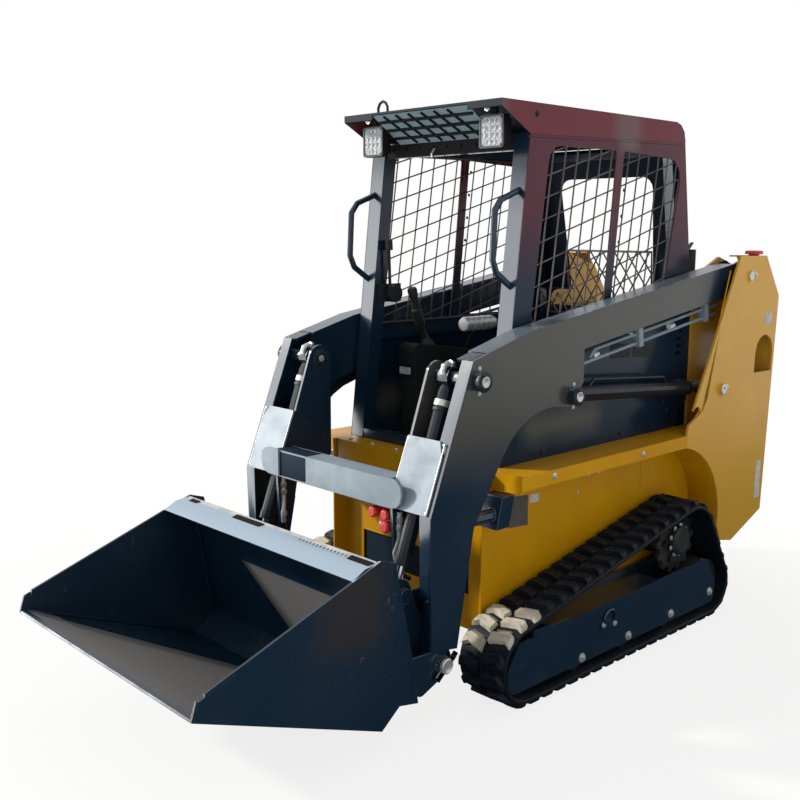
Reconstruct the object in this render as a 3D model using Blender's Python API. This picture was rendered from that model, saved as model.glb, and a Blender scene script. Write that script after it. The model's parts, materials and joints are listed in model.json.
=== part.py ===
"""Mini skid steer loader on rubber tracks, with a sit-in safety cab.

Frame: the bucket end faces -Y, the machine's left side is +X, +Z is up and
the ground is z = 0.  Lengths along Y below are measured from the front end
of the tracks' ground contact; the "machine" empty then moves everything so
that the origin lies under the middle of the whole machine.
"""
import math

import bmesh
import bpy
from mathutils import Matrix, Vector

# ---------------------------------------------------------------- driving sizes
GAP = 0.0003            # between pieces that touch
RUN_GAP = 0.0006        # between a turning piece and what it runs on
SIDES = (("left", 1), ("right", -1))

# tracks
TRACK_HALF_WIDTH = 0.600        # centre plane to a track's outer edge
TRACK_WIDTH = 0.200
TRACK_INNER = TRACK_HALF_WIDTH - TRACK_WIDTH
TRACK_MIDDLE = TRACK_HALF_WIDTH - TRACK_WIDTH / 2.0
BAND = 0.014                    # rubber band without lugs
LUG = 0.018                     # lug height
LUG_PITCH = 0.072
FRONT_WHEEL = (0.120, 0.132)    # centre along Y, outer radius of the band
REAR_WHEEL = (1.305, 0.117)
DRIVE_WHEEL = (1.140, 0.152)
DRIVE_HEIGHT = 0.350
ROLLER_RADIUS = 0.050
ROLLER_Y = (0.415, 0.707, 0.999)

# hull
HULL_HALF_WIDTH = 0.392
HULL_FRONT = 0.100
FRONT_PANEL = 0.160
HULL_REAR = 1.790
HULL_TOP = 0.775
HULL_BOTTOM = 0.170
SHEET = 0.006
DECK_FRONT = 0.110

# towers and fenders
TOWER_HALF_WIDTH = 0.530
TOWER_PLATE = 0.010
FENDER_FRONT = 0.140
FENDER_LIP = 0.049
TOWER_FRONT = 1.158
REAR_HINGE = (-0.352, 1.850)    # upright axis of the engine door
HINGE_HEIGHTS = (0.500, 1.080)

# cab
CAB_HALF_WIDTH = 0.389
CAB_SHEET = 0.004
ROOF_TOP = 1.996
ROOF_FRONT = 0.165
ROOF_REAR = 1.270
PILLAR_WIDTH = 0.068

# loader arms
ARM_HALF_WIDTH = 0.486
ARM_PLATE = 0.010
BEAM_INNER = 0.400
INNER_PLATE = 0.300
PIN_RADIUS = 0.022
ARM_PIVOT = (1.590, 1.393)
LIFT_ARM_PIN = (0.455, 1.008)
LIFT_TOWER_PIN = (1.402, 0.938)
TILT_ARM_PIN = (-0.035, 1.108)
COUPLER_PIN = (-0.170, 0.203)
TILT_COUPLER_PIN = (-0.275, 0.440)
LIFT_CYLINDER_X = 0.4435
TILT_CYLINDER_X = 0.362

# bucket
BUCKET_HALF_WIDTH = 0.517
BUCKET_PLATE = 0.008
CUTTING_EDGE = (-1.122, 0.350)
BUCKET_HEEL = (-0.471, 0.095)

# ---------------------------------------------------------------- finishes
FINISHES = {            # name: (red, green, blue), roughness, metallic
    "yellow_paint": ((0.430, 0.235, 0.040), 0.38, 0.0),
    "slate_paint": ((0.012, 0.024, 0.042), 0.28, 0.0),
    "cab_paint": ((0.055, 0.028, 0.036), 0.32, 0.0),
    "bare_steel": ((0.520, 0.560, 0.590), 0.38, 0.9),
    "chrome": ((0.700, 0.700, 0.700), 0.12, 1.0),
    "black_rubber": ((0.012, 0.012, 0.013), 0.80, 0.0),
    "black_vinyl": ((0.015, 0.015, 0.016), 0.55, 0.0),
    "dark_casting": ((0.030, 0.031, 0.034), 0.60, 0.5),
    "lamp_glass": ((0.700, 0.720, 0.740), 0.15, 0.1),
    "red_plastic": ((0.620, 0.035, 0.025), 0.35, 0.0),
}


def start_clean():
    """Remove whatever the scene holds."""
    for thing in list(bpy.data.objects):
        bpy.data.objects.remove(thing)


def finish(name):
    """Return the Principled material of that name, made once."""
    if name in bpy.data.materials:
        return bpy.data.materials[name]
    colour, roughness, metallic = FINISHES[name]
    made = bpy.data.materials.new(name)
    made.use_nodes = True
    shader = made.node_tree.nodes["Principled BSDF"]
    shader.inputs["Base Color"].default_value = (*colour, 1.0)
    shader.inputs["Roughness"].default_value = roughness
    shader.inputs["Metallic"].default_value = metallic
    return made


# ---------------------------------------------------------------- plane geometry
def arc(centre, radius, start, stop, step=20.0):
    """Points along an arc; angles in degrees, counted from +Y towards +Z."""
    count = max(1, math.ceil(abs(stop - start) / step))
    turn = [math.radians(start + (stop - start) * k / count) for k in range(count + 1)]
    return [(centre[0] + radius * math.cos(a), centre[1] + radius * math.sin(a)) for a in turn]


def rounded(corners, step=30.0):
    """Outline through rows of (u, v, corner radius)."""
    points = []
    count = len(corners)
    for index, (u, v, radius) in enumerate(corners):
        here = Vector((u, v))
        if radius <= 0.0:
            points.append((u, v))
            continue
        before = (Vector(corners[index - 1][:2]) - here).normalized()
        after = (Vector(corners[(index + 1) % count][:2]) - here).normalized()
        half = before.angle(after) / 2.0
        centre = here + (before + after).normalized() * (radius / math.sin(half))
        first = here + before * (radius / math.tan(half)) - centre
        turn = math.pi - 2.0 * half
        sense = 1.0 if before.cross(after) < 0.0 else -1.0
        steps = max(1, math.ceil(math.degrees(turn) / step))
        for k in range(steps + 1):
            spun = Matrix.Rotation(sense * turn * k / steps, 2) @ first
            points.append(tuple(centre + spun))
    return points


def shifted(point, along, distance):
    """Move a point of the Y-Z plane along a unit direction."""
    return (point[0] + along[0] * distance, point[1] + along[1] * distance)


def direction(start, stop):
    """Unit direction and distance between two points of the Y-Z plane."""
    reach = math.dist(start, stop)
    return ((stop[0] - start[0]) / reach, (stop[1] - start[1]) / reach), reach


# ---------------------------------------------------------------- solids
def new_object(name, mesh_data):
    """Give a bmesh to a new object."""
    mesh = bpy.data.meshes.new(name)
    bmesh.ops.recalc_face_normals(mesh_data, faces=mesh_data.faces)
    mesh_data.to_mesh(mesh)
    mesh_data.free()
    made = bpy.data.objects.new(name, mesh)
    bpy.context.collection.objects.link(made)
    return made


def prism(points, low, high, axis="x"):
    """Extrude an outline along an axis: (y, z) for x, (x, z) for y, (x, y) for z."""
    low, high = min(low, high), max(low, high)
    place = {
        "x": lambda u, v, w: (w, u, v),
        "y": lambda u, v, w: (u, w, v),
        "z": lambda u, v, w: (u, v, w),
    }[axis]
    work = bmesh.new()
    rings = [[work.verts.new(place(u, v, w)) for u, v in points] for w in (low, high)]
    work.faces.new(rings[0])
    work.faces.new(reversed(rings[1]))
    for k in range(len(points)):
        nxt = (k + 1) % len(points)
        work.faces.new((rings[0][k], rings[1][k], rings[1][nxt], rings[0][nxt]))
    return new_object("solid", work)


def box(x_range, y_range, z_range):
    """Axis-aligned box."""
    (x0, x1), (y0, y1) = x_range, y_range
    return prism([(x0, y0), (x1, y0), (x1, y1), (x0, y1)], *z_range, axis="z")


def disc(centre, radius, low, high, sides=12):
    """Cylinder along X about a point (y, z)."""
    turn = [2.0 * math.pi * (k + 0.5) / sides for k in range(sides)]
    ring = [(centre[0] + radius * math.cos(a), centre[1] + radius * math.sin(a)) for a in turn]
    return prism(ring, low, high)


def rod_between(start, stop, radius, sides=12):
    """Cylinder between two points in space."""
    start, stop = Vector(start), Vector(stop)
    work = bmesh.new()
    reach = (stop - start).length
    bmesh.ops.create_cone(work, cap_ends=True, segments=sides, radius1=radius,
                          radius2=radius, depth=reach)
    turned = (stop - start).to_track_quat("Z", "Y").to_matrix().to_4x4()
    bmesh.ops.transform(work, matrix=Matrix.Translation((start + stop) / 2.0) @ turned,
                        verts=work.verts)
    return new_object("solid", work)


def turned(profile, start, stop, sides=12):
    """Turn rows of (distance along, radius) about the line from start to stop."""
    start, stop = Vector(start), Vector(stop)
    frame = Matrix.Translation(start) @ (stop - start).to_track_quat("Z", "Y").to_matrix().to_4x4()
    work = bmesh.new()
    rings = []
    for along, radius in profile:
        ring = []
        for k in range(sides):
            a = 2.0 * math.pi * k / sides
            ring.append(work.verts.new(frame @ Vector((radius * math.cos(a), radius * math.sin(a), along))))
        rings.append(ring)
    work.faces.new(rings[0])
    work.faces.new(rings[-1])
    for lower, upper in zip(rings, rings[1:]):
        for k in range(sides):
            nxt = (k + 1) % sides
            work.faces.new((lower[k], lower[nxt], upper[nxt], upper[k]))
    return new_object("solid", work)


def bent_tube(route, radius, sides=10):
    """Round bar along a route of points in space, with mitred bends."""
    route = [Vector(point) for point in route]
    work = bmesh.new()
    rings = []
    side = None
    for index, point in enumerate(route):
        before = (point - route[index - 1]).normalized() if index else None
        after = (route[index + 1] - point).normalized() if index + 1 < len(route) else None
        along = (before or after) if before is None or after is None else (before + after).normalized()
        if side is None:
            side = along.orthogonal().normalized()
        side = (side - along * side.dot(along)).normalized()
        other = along.cross(side)
        stretch = 1.0
        if before is not None and after is not None:
            stretch = 1.0 / max(0.5, math.cos(before.angle(after) / 2.0))
            bend = (after - before)
            bend = bend.normalized() if bend.length > 1e-6 else side
        ring = []
        for k in range(sides):
            a = 2.0 * math.pi * k / sides
            reach = side * (radius * math.cos(a)) + other * (radius * math.sin(a))
            if before is not None and after is not None:
                reach += bend * (reach.dot(bend) * (stretch - 1.0))
            ring.append(work.verts.new(point + reach))
        rings.append(ring)
    work.faces.new(rings[0])
    work.faces.new(reversed(rings[-1]))
    for lower, upper in zip(rings, rings[1:]):
        for k in range(sides):
            nxt = (k + 1) % sides
            work.faces.new((lower[k], lower[nxt], upper[nxt], upper[k]))
    return new_object("solid", work)


def combine(body, tools, operation):
    """Apply Booleans to body and use the tools up."""
    for tool in tools:
        step = body.modifiers.new("cut", "BOOLEAN")
        step.operation = operation
        step.solver = "EXACT"
        step.object = tool
    graph = bpy.context.evaluated_depsgraph_get()
    shaped = bpy.data.meshes.new_from_object(body.evaluated_get(graph))
    body.modifiers.clear()
    spent = body.data
    body.data = shaped
    bpy.data.meshes.remove(spent)
    for tool in tools:
        bpy.data.objects.remove(tool)
    return body


def weld(first, *others):
    """Union of solids that overlap."""
    return combine(first, others, "UNION")


def cut(body, *tools):
    """Body less the tools."""
    return combine(body, tools, "DIFFERENCE")


def tidy(body):
    """Drop the slivers that Booleans leave on flat faces."""
    work = bmesh.new()
    work.from_mesh(body.data)
    bmesh.ops.remove_doubles(work, verts=work.verts, dist=0.00002)
    bmesh.ops.dissolve_limit(work, angle_limit=math.radians(0.1), verts=work.verts, edges=work.edges)
    work.to_mesh(body.data)
    work.free()
    return body


def node(name, body, finish_name, carrier, smooth=40.0):
    """Name a finished solid, give it its finish and hang it on its carrier."""
    tidy(body)
    body.name = name
    body.data.name = name
    body.data.materials.clear()
    body.data.materials.append(finish(finish_name))
    for face in body.data.polygons:
        face.material_index = 0
        face.use_smooth = True
    body.data.set_sharp_from_angle(angle=math.radians(smooth))
    offset = carrier.matrix_world.to_translation() - CARRIERS["machine"].matrix_world.to_translation()
    body.data.transform(Matrix.Translation(-offset))
    body.parent = carrier
    return body


CARRIERS = {}


def carrier(name, place=(0.0, 0.0, 0.0), parent="machine"):
    """Empty on a joint's axis; place is in the machine's own frame."""
    made = bpy.data.objects.new(name, None)
    bpy.context.collection.objects.link(made)
    CARRIERS[name] = made
    if name == "machine":
        made.location = place
    else:
        above = CARRIERS[parent]
        made.parent = above
        base = CARRIERS["machine"].matrix_world.to_translation()
        made.location = Vector(place) - (above.matrix_world.to_translation() - base)
    bpy.context.view_layer.update()
    return made


# ---------------------------------------------------------------- tracks
def belt(offset, lugs=False):
    """Loop round the three wheels, offset outwards from the band's outer face."""
    wheels = (
        ((FRONT_WHEEL[0], LUG + FRONT_WHEEL[1]), FRONT_WHEEL[1] + offset),
        ((REAR_WHEEL[0], LUG + REAR_WHEEL[1]), REAR_WHEEL[1] + offset),
        ((DRIVE_WHEEL[0], DRIVE_HEIGHT), DRIVE_WHEEL[1] + offset),
    )
    normals = []
    for (start, r0), (stop, r1) in zip(wheels, wheels[1:] + wheels[:1]):
        heading = math.degrees(math.atan2(stop[1] - start[1], stop[0] - start[0]))
        lean = math.degrees(math.asin((r0 - r1) / math.dist(start, stop)))
        normals.append(heading - 90.0 + lean)
    points = []
    for index, (centre, radius) in enumerate(wheels):
        begin, end = normals[index - 1], normals[index]
        while end < begin:
            end += 360.0
        points += arc(centre, radius, begin, end, 2.0 if lugs else 15.0)
    return with_lugs(points) if lugs else points


def with_lugs(points):
    """Raise evenly spaced lugs on a closed loop of close points."""
    ring = points + points[:1]
    lengths = [0.0]
    for start, stop in zip(ring, ring[1:]):
        lengths.append(lengths[-1] + math.dist(start, stop))
    count = round(lengths[-1] / LUG_PITCH)
    rows = ((-0.017, 0.0), (-0.012, LUG), (0.012, LUG), (0.017, 0.0))
    shaped = []
    for k in range(count):
        for shift, height in rows:
            along = (lengths[-1] * (k + 0.5) / count + shift) % lengths[-1]
            leg = max(i for i, reach in enumerate(lengths[:-1]) if reach <= along)
            (tangent, _) = direction(ring[leg], ring[leg + 1])
            foot = shifted(ring[leg], tangent, along - lengths[leg])
            shaped.append(shifted(foot, (tangent[1], -tangent[0]), height))
    return shaped


def make_track(name, side):
    """Rubber track: one closed band with its lugs."""
    inner, outer = side * TRACK_INNER, side * TRACK_HALF_WIDTH
    loop = cut(prism(belt(0.0, lugs=True), inner, outer),
               prism(belt(-BAND), inner - side * 0.01, outer + side * 0.01))
    node(f"track_{name}", loop, "black_rubber", CARRIERS["machine"])


FRAME_PLATE = (0.078, 0.088)            # from the track's middle to a side plate's two faces
FRAME_OUTER = tuple(TRACK_MIDDLE + x for x in FRAME_PLATE)
FRAME_INNER = tuple(TRACK_MIDDLE - x for x in reversed(FRAME_PLATE))
ROLLER_FLANGE = (0.012, 0.062)          # from the track's middle
FRAME_OUTLINE = (
    (0.078, 0.236, 0.008), (0.016, 0.150, 0.050), (0.030, 0.064, 0.045),
    (1.318, 0.064, 0.020), (1.337, 0.150, 0.030), (1.255, 0.262, 0.010),
)
IDLER_HALF = 0.050
IDLER_RECESS = 0.018
WEB_RANGE = (0.270, 0.960)
CROSS_BEAMS = (0.330, 0.840)


def make_track_frame(name, side):
    """Channel of two side plates and a web, with its rollers and cross beams."""
    outline = rounded(FRAME_OUTLINE)
    parts = [prism(outline, *(side * x for x in FRAME_OUTER)),
             prism(outline, *(side * x for x in FRAME_INNER))]
    across = (side * (FRAME_INNER[1] - 0.002), side * (FRAME_OUTER[0] + 0.002))
    parts.append(box(sorted(across), WEB_RANGE, (0.228, 0.236)))
    for y in CROSS_BEAMS:
        reach = sorted((side * (HULL_HALF_WIDTH + GAP), side * (FRAME_INNER[0] + 0.003)))
        parts.append(box(reach, (y, y + 0.080), (0.190, 0.245)))
    height = LUG + BAND + ROLLER_RADIUS + RUN_GAP
    for y in ROLLER_Y:
        parts.append(disc((y, height), 0.014, *across, sides=8))
        for way in (-1, 1):
            flange = (side * (TRACK_MIDDLE + way * x) for x in ROLLER_FLANGE)
            parts.append(disc((y, height), ROLLER_RADIUS, *flange, sides=10))
        hub = (side * (TRACK_MIDDLE + way * (ROLLER_FLANGE[0] + 0.003)) for way in (-1, 1))
        parts.append(disc((y, height), 0.034, *hub, sides=6))
    node(f"track_frame_{name}", weld(*parts), "slate_paint", CARRIERS["machine"])


def make_idler(name, side, title, wheel):
    """Idler wheel, dished on its outer face, on an axle that reaches both frame plates."""
    centre = (wheel[0], LUG + wheel[1])
    radius = wheel[1] - BAND - 0.0012
    ends = (TRACK_MIDDLE - IDLER_HALF, TRACK_MIDDLE + IDLER_HALF)
    rim = disc(centre, radius, *(side * x for x in ends), sides=20)
    recess = cut(disc(centre, radius - 0.022, *(side * (ends[1] + x) for x in (-IDLER_RECESS, 0.010))),
                 disc(centre, 0.034, *(side * (ends[1] + x) for x in (-2.0 * IDLER_RECESS, 0.020)), sides=8))
    axle = disc(centre, 0.020, side * (FRAME_INNER[1] + GAP), side * (FRAME_OUTER[0] - GAP), sides=8)
    node(f"{title}_{name}", weld(cut(rim, recess), axle), "dark_casting", CARRIERS["machine"])


def make_sprocket(name, side):
    """Toothed drive wheel on its motor housing, which stands on the hull side."""
    centre = (DRIVE_WHEEL[0], DRIVE_HEIGHT)
    tip = DRIVE_WHEEL[1] - BAND - 0.0015
    root = tip - 0.020
    teeth = 14
    rim = []
    for k in range(teeth):
        for share, radius in ((-0.34, root), (-0.16, tip), (0.16, tip), (0.34, root)):
            turn = 2.0 * math.pi * (k + share) / teeth
            rim.append((centre[0] + radius * math.cos(turn), centre[1] + radius * math.sin(turn)))
    wheel = prism(rim, *(side * (TRACK_MIDDLE + x) for x in (-0.010, 0.010)))
    holes = [disc((centre[0] + 0.086 * math.cos(a), centre[1] + 0.086 * math.sin(a)), 0.016,
                  *(side * (TRACK_MIDDLE + x) for x in (-0.020, 0.020)), sides=8)
             for a in (math.radians(60.0 * k) for k in range(6))]
    wheel = cut(wheel, *holes)
    reach = TRACK_MIDDLE - HULL_HALF_WIDTH
    housing = turned([(0.0, 0.074), (reach - 0.016, 0.074), (reach + 0.001, 0.060), (reach + 0.036, 0.060),
                      (reach + 0.046, 0.048)], (side * (HULL_HALF_WIDTH + GAP), *centre), (side, *centre))
    node(f"drive_sprocket_{name}", weld(wheel, housing), "dark_casting", CARRIERS["machine"])


# ---------------------------------------------------------------- hull
HULL_SKIN = (           # side plate: y, z, corner radius
    (HULL_FRONT, HULL_TOP, 0.0), (HULL_FRONT, 0.230, 0.0), (0.170, HULL_BOTTOM, 0.0),
    (1.500, HULL_BOTTOM, 0.0), (1.620, 0.280, 0.0), (HULL_REAR, 0.345, 0.0),
    (HULL_REAR, HULL_TOP, 0.0),
)
CAB_FLOOR = 0.480
BULKHEAD = 1.285


def make_hull():
    """Open-topped welded tub: sides, belly, front panel, deck, floor and bulkhead."""
    outline = [corner[:2] for corner in HULL_SKIN]
    inside = HULL_HALF_WIDTH - SHEET
    lap = inside + 0.002
    parts = [prism(outline, side * inside, side * HULL_HALF_WIDTH) for _, side in SIDES]
    belly = [(0.162, 0.1745), (0.170, HULL_BOTTOM), (1.500, HULL_BOTTOM), (1.620, 0.280),
             (HULL_REAR, 0.345), (HULL_REAR, 0.352), (1.617, 0.287), (1.497, 0.176), (0.162, 0.1765)]
    parts.append(prism(belly, -lap, lap))
    parts.append(box((-lap, lap), (FRONT_PANEL, FRONT_PANEL + SHEET), (0.172, HULL_TOP - 0.002)))
    parts.append(box((-lap, lap), (DECK_FRONT, 0.290), (HULL_TOP - SHEET, HULL_TOP)))
    parts.append(box((-lap, lap), (DECK_FRONT, DECK_FRONT + SHEET), (0.700, HULL_TOP - 0.002)))
    parts.append(box((-lap, lap), (FRONT_PANEL + 0.002, BULKHEAD + 0.002), (CAB_FLOOR, CAB_FLOOR + SHEET)))
    parts.append(box((-lap, lap), (BULKHEAD, BULKHEAD + SHEET), (0.172, HULL_TOP)))
    hull = weld(*parts)
    window = box((-0.280, 0.280), (FRONT_PANEL - 0.020, FRONT_PANEL + 0.020), (0.300, 0.422))
    node("hull", cut(hull, window), "yellow_paint", CARRIERS["machine"])


ARCH_CENTRE = (1.100, 0.400)
ARCH_RADIUS = 0.330
ARCH_SWEEP = (-8.0, 80.0)


def make_fender(name, side):
    """Ledge beside the cab with its folded lip, and the guard behind the track."""
    near = HULL_HALF_WIDTH + GAP
    far = TOWER_HALF_WIDTH
    behind = TOWER_HALF_WIDTH - TOWER_PLATE - GAP
    front_end = TOWER_FRONT - GAP
    parts = [
        box(sorted((side * near, side * far)), (FENDER_FRONT, front_end), (HULL_TOP - SHEET, HULL_TOP)),
        box(sorted((side * near, side * behind)), (front_end - 0.02, 1.360), (HULL_TOP - SHEET, HULL_TOP)),
        box(sorted((side * (far - SHEET), side * far)), (FENDER_FRONT, front_end - 0.002),
            (HULL_TOP - FENDER_LIP, HULL_TOP - 0.002)),
        box(sorted((side * near, side * (far - 0.002))), (FENDER_FRONT, FENDER_FRONT + SHEET),
            (HULL_TOP - 0.060, HULL_TOP - 0.002)),
    ]
    guard = arc(ARCH_CENTRE, ARCH_RADIUS, *ARCH_SWEEP, 8.0)
    guard += reversed(arc(ARCH_CENTRE, ARCH_RADIUS + SHEET, *ARCH_SWEEP, 8.0))
    parts.append(prism(guard, side * near, side * behind))
    top = (ARCH_CENTRE[0] + ARCH_RADIUS * math.cos(math.radians(ARCH_SWEEP[1])),
           ARCH_CENTRE[1] + ARCH_RADIUS * math.sin(math.radians(ARCH_SWEEP[1])))
    parts.append(box(sorted((side * near, side * behind)), (top[0] - 0.006, top[0] + 0.001),
                     (top[1] + 0.001, HULL_TOP - 0.002)))
    node(f"fender_{name}", weld(*parts), "yellow_paint", CARRIERS["machine"])


TOWER_INNER = (0.382, 0.3935)
TOWER_TOP = 1.476
TOWER_REAR_EDGE = ((1.725, TOWER_TOP), (1.855, 1.302), (1.802, 0.358))
TOWER_FOOT = ((1.555, 0.263), (1.463, 0.282))
TOP_PLATE_FRONT = 1.660


def strip(points, thickness, low, high):
    """Bent sheet: an open line of the Y-Z plane, thickened to its left."""
    left = []
    for index, point in enumerate(points):
        legs = []
        if index:
            legs.append(direction(points[index - 1], point)[0])
        if index + 1 < len(points):
            legs.append(direction(point, points[index + 1])[0])
        normal = Vector((-sum(leg[1] for leg in legs), sum(leg[0] for leg in legs))).normalized()
        lean = normal.dot(Vector((-legs[0][1], legs[0][0])))
        left.append(tuple(Vector(point) + normal * (thickness / lean)))
    return prism(list(points) + left[::-1], low, high)


def make_tower(name, side):
    """Box-section rear upright that carries the arm's pivot between two plates."""
    near, behind = HULL_HALF_WIDTH + GAP, TOWER_HALF_WIDTH - TOWER_PLATE
    outline = [(1.507, TOWER_TOP), *TOWER_REAR_EDGE, *TOWER_FOOT]
    outline += arc(ARCH_CENTRE, ARCH_RADIUS, *ARCH_SWEEP, 8.0)
    outline += rounded(((TOWER_FRONT, 0.787, 0.0), (1.165, 0.815, 0.0), (1.266, 0.862, 0.03),
                        (1.300, 0.915, 0.03), (1.367, 1.188, 0.10), (1.447, 1.423, 0.03)))
    outer = prism(outline, side * behind, side * TOWER_HALF_WIDTH)
    outer = cut(outer, prism(rounded([(1.670, 0.980, 0.005), (1.823, 0.978, 0.005),
                                      (1.832, 1.139, 0.075), (1.678, 1.139, 0.075)]),
                             side * (behind - 0.01), side * (TOWER_HALF_WIDTH + 0.01)))
    sunk = [side * x for x in TOWER_INNER]
    inner = prism([(1.574, 1.470), (1.770, 1.412), (1.849, 1.302), (1.815, HULL_TOP + GAP),
                   (1.376, HULL_TOP + GAP), (1.376, 1.190), (1.411, 1.402)], *sunk)
    lap_in, lap_out = side * near, side * (behind + 0.002)
    parts = [
        outer, inner,
        strip(TOWER_REAR_EDGE[::-1], SHEET, lap_in, lap_out),
        strip(TOWER_FOOT[::-1] + (TOWER_REAR_EDGE[-1],), SHEET, lap_in, lap_out),
        box(sorted((lap_in, lap_out)), (TOP_PLATE_FRONT, 1.724), (TOWER_TOP - SHEET, TOWER_TOP)),
        disc(ARM_PIVOT, PIN_RADIUS, side * (TOWER_INNER[0] + 0.002), side * (TOWER_HALF_WIDTH + 0.006)),
        disc(LIFT_TOWER_PIN, 0.024, side * (behind + 0.004), side * (TOWER_HALF_WIDTH + 0.012)),
    ]
    if math.copysign(side, REAR_HINGE[0]) == side:
        for z in HINGE_HEIGHTS:
            for low in (z - 0.030 - RUN_GAP - 0.020, z + 0.030 + RUN_GAP):
                parts.append(box((-0.402, -0.384), (1.796, 1.858), (low, low + 0.020)))
                parts.append(box((-0.386, REAR_HINGE[0] + 0.006), (1.838, 1.858), (low, low + 0.020)))
    node(f"tower_{name}", weld(*parts), "yellow_paint", CARRIERS["machine"])


HOOD_TOP = 1.236


def make_engine_bay():
    """Engine block, hood and the hinged rear door."""
    block = box((-0.250, 0.250), (1.390, 1.690), (0.330, 0.980))
    sump = box((-0.140, 0.140), (1.400, 1.490), (0.1763, 0.332))
    node("engine_block", weld(block, sump), "dark_casting", CARRIERS["machine"])
    inside = HOOD_TOP - SHEET
    hood = [(1.400, 1.150), (1.440, HOOD_TOP), (1.780, HOOD_TOP), (1.780, 1.150),
            (1.774, 1.150), (1.774, inside), (1.444, inside), (1.406, 1.150)]
    shell = prism(hood, -TOWER_INNER[0] + GAP, TOWER_INNER[0] - GAP)
    slots = [box((x, x + 0.030), (1.500, 1.700), (1.20, 1.25)) for x in
             (-0.260 + 0.070 * k for k in range(8))]
    node("engine_hood", cut(shell, *slots), "slate_paint", CARRIERS["machine"])


def make_rear_door():
    """Louvred engine door on two knuckles held by the right tower's lugs."""
    x, y = REAR_HINGE
    hinge = carrier("rear_door_hinge", (x, y, 0.800))
    panel = box((-0.372, 0.372), (1.800, 1.812), (0.372, 1.225))
    slots = [box((-0.230, 0.230), (1.79, 1.82), (z, z + 0.022))
             for z in (0.640 + 0.060 * k for k in range(7))]
    parts = [cut(panel, *slots)]
    for z in HINGE_HEIGHTS:
        parts.append(rod_between((x, y, z - 0.030), (x, y, z + 0.030), 0.010, 12))
        parts.append(box((x - 0.008, x + 0.008), (1.811, y), (z - 0.029, z + 0.029)))
    parts.append(bent_tube([(0.300, 1.808, 0.760), (0.300, 1.842, 0.760), (0.300, 1.842, 0.860),
                            (0.300, 1.808, 0.860)], 0.008, 8))
    node("rear_door", weld(*parts), "yellow_paint", hinge)


# ---------------------------------------------------------------- cab
PILLAR_FOOT = (0.190, HULL_TOP)
PILLAR_HEAD = (0.3125, 1.8930)
SEAM_REAR = (1.2710, 1.9200)
CAB_BACK = (SEAM_REAR, (1.354, 1.394), (1.372, 1.180), (1.372, HULL_TOP + GAP))
WINDOW_FRONT = ((0.330, 1.220, 0.020), (0.750, 1.220, 0.010), (0.808, 1.866, 0.010), (0.4215, 1.862, 0.060))
WINDOW_REAR = ((0.795, 1.220, 0.010), (1.135, 1.220, 0.020), (1.262, 1.850, 0.080), (0.856, 1.866, 0.010))
INSIDE = CAB_HALF_WIDTH - CAB_SHEET - GAP
HEADER_Y = (0.3172, 0.3632)


def make_cab_side(name, side):
    """Side sheet with its two window openings and the louvres at its rear."""
    outline = [(PILLAR_FOOT[0], HULL_TOP + GAP), (1.180, HULL_TOP + GAP), (1.372, 0.880),
               (1.372, 1.180), (1.354, 1.394), (SEAM_REAR[0], SEAM_REAR[1] - GAP),
               (PILLAR_HEAD[0], PILLAR_HEAD[1] - GAP)]
    outer, inner = side * CAB_HALF_WIDTH, side * (CAB_HALF_WIDTH - CAB_SHEET)
    cutters = [prism(rounded(window), inner - side * 0.01, outer + side * 0.01)
               for window in (WINDOW_FRONT, WINDOW_REAR)]
    cutters += [box(sorted((inner - side * 0.01, outer + side * 0.01)), (1.272, 1.334), (z, z + 0.012))
                for z in (1.078 + 0.030 * k for k in range(4))]
    node(f"cab_side_{name}", cut(prism(outline, inner, outer), *cutters), "cab_paint", CARRIERS["machine"])


def lattice(origin, along, across, reach, rise, bars, width, thickness):
    """Flat grid of bars: along/across are unit vectors, reach/rise its size."""
    origin, along, across = Vector(origin), Vector(along), Vector(across)
    normal = along.cross(across).normalized() * (thickness / 2.0)
    lines = []
    for count, size in zip(bars, (reach, rise)):
        marks = []
        for k in range(count):
            middle = width / 2.0 + (size - width) * k / (count - 1)
            marks += [middle - width / 2.0, middle + width / 2.0]
        lines.append(marks)
    work = bmesh.new()
    grid = {}
    for layer in (-1, 1):
        for a, u in enumerate(lines[0]):
            for b, v in enumerate(lines[1]):
                grid[layer, a, b] = work.verts.new(origin + along * u + across * v + normal * layer)
    solid = {(a, b) for a in range(len(lines[0]) - 1) for b in range(len(lines[1]) - 1)
             if a % 2 == 0 or b % 2 == 0}
    for a, b in solid:
        ring = ((a, b), (a + 1, b), (a + 1, b + 1), (a, b + 1))
        for layer in (-1, 1):
            work.faces.new([grid[(layer, *corner)] for corner in ring])
        beside = ((a, b - 1), (a + 1, b), (a, b + 1), (a - 1, b))
        for k, other in enumerate(beside):
            if other not in solid:
                first, second = ring[k], ring[(k + 1) % 4]
                work.faces.new((grid[(-1, *first)], grid[(-1, *second)],
                                grid[(1, *second)], grid[(1, *first)]))
    return new_object("solid", work)


MESH_X = INSIDE - 0.004
MESH_REGION = ((0.318, 1.208, 0.020), (1.142, 1.208, 0.020), (1.272, 1.876, 0.080), (0.4125, 1.876, 0.060))
MESH_RIM = ((0.328, 1.218, 0.020), (1.134, 1.218, 0.020), (1.262, 1.866, 0.080), (0.4205, 1.866, 0.060))


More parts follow.
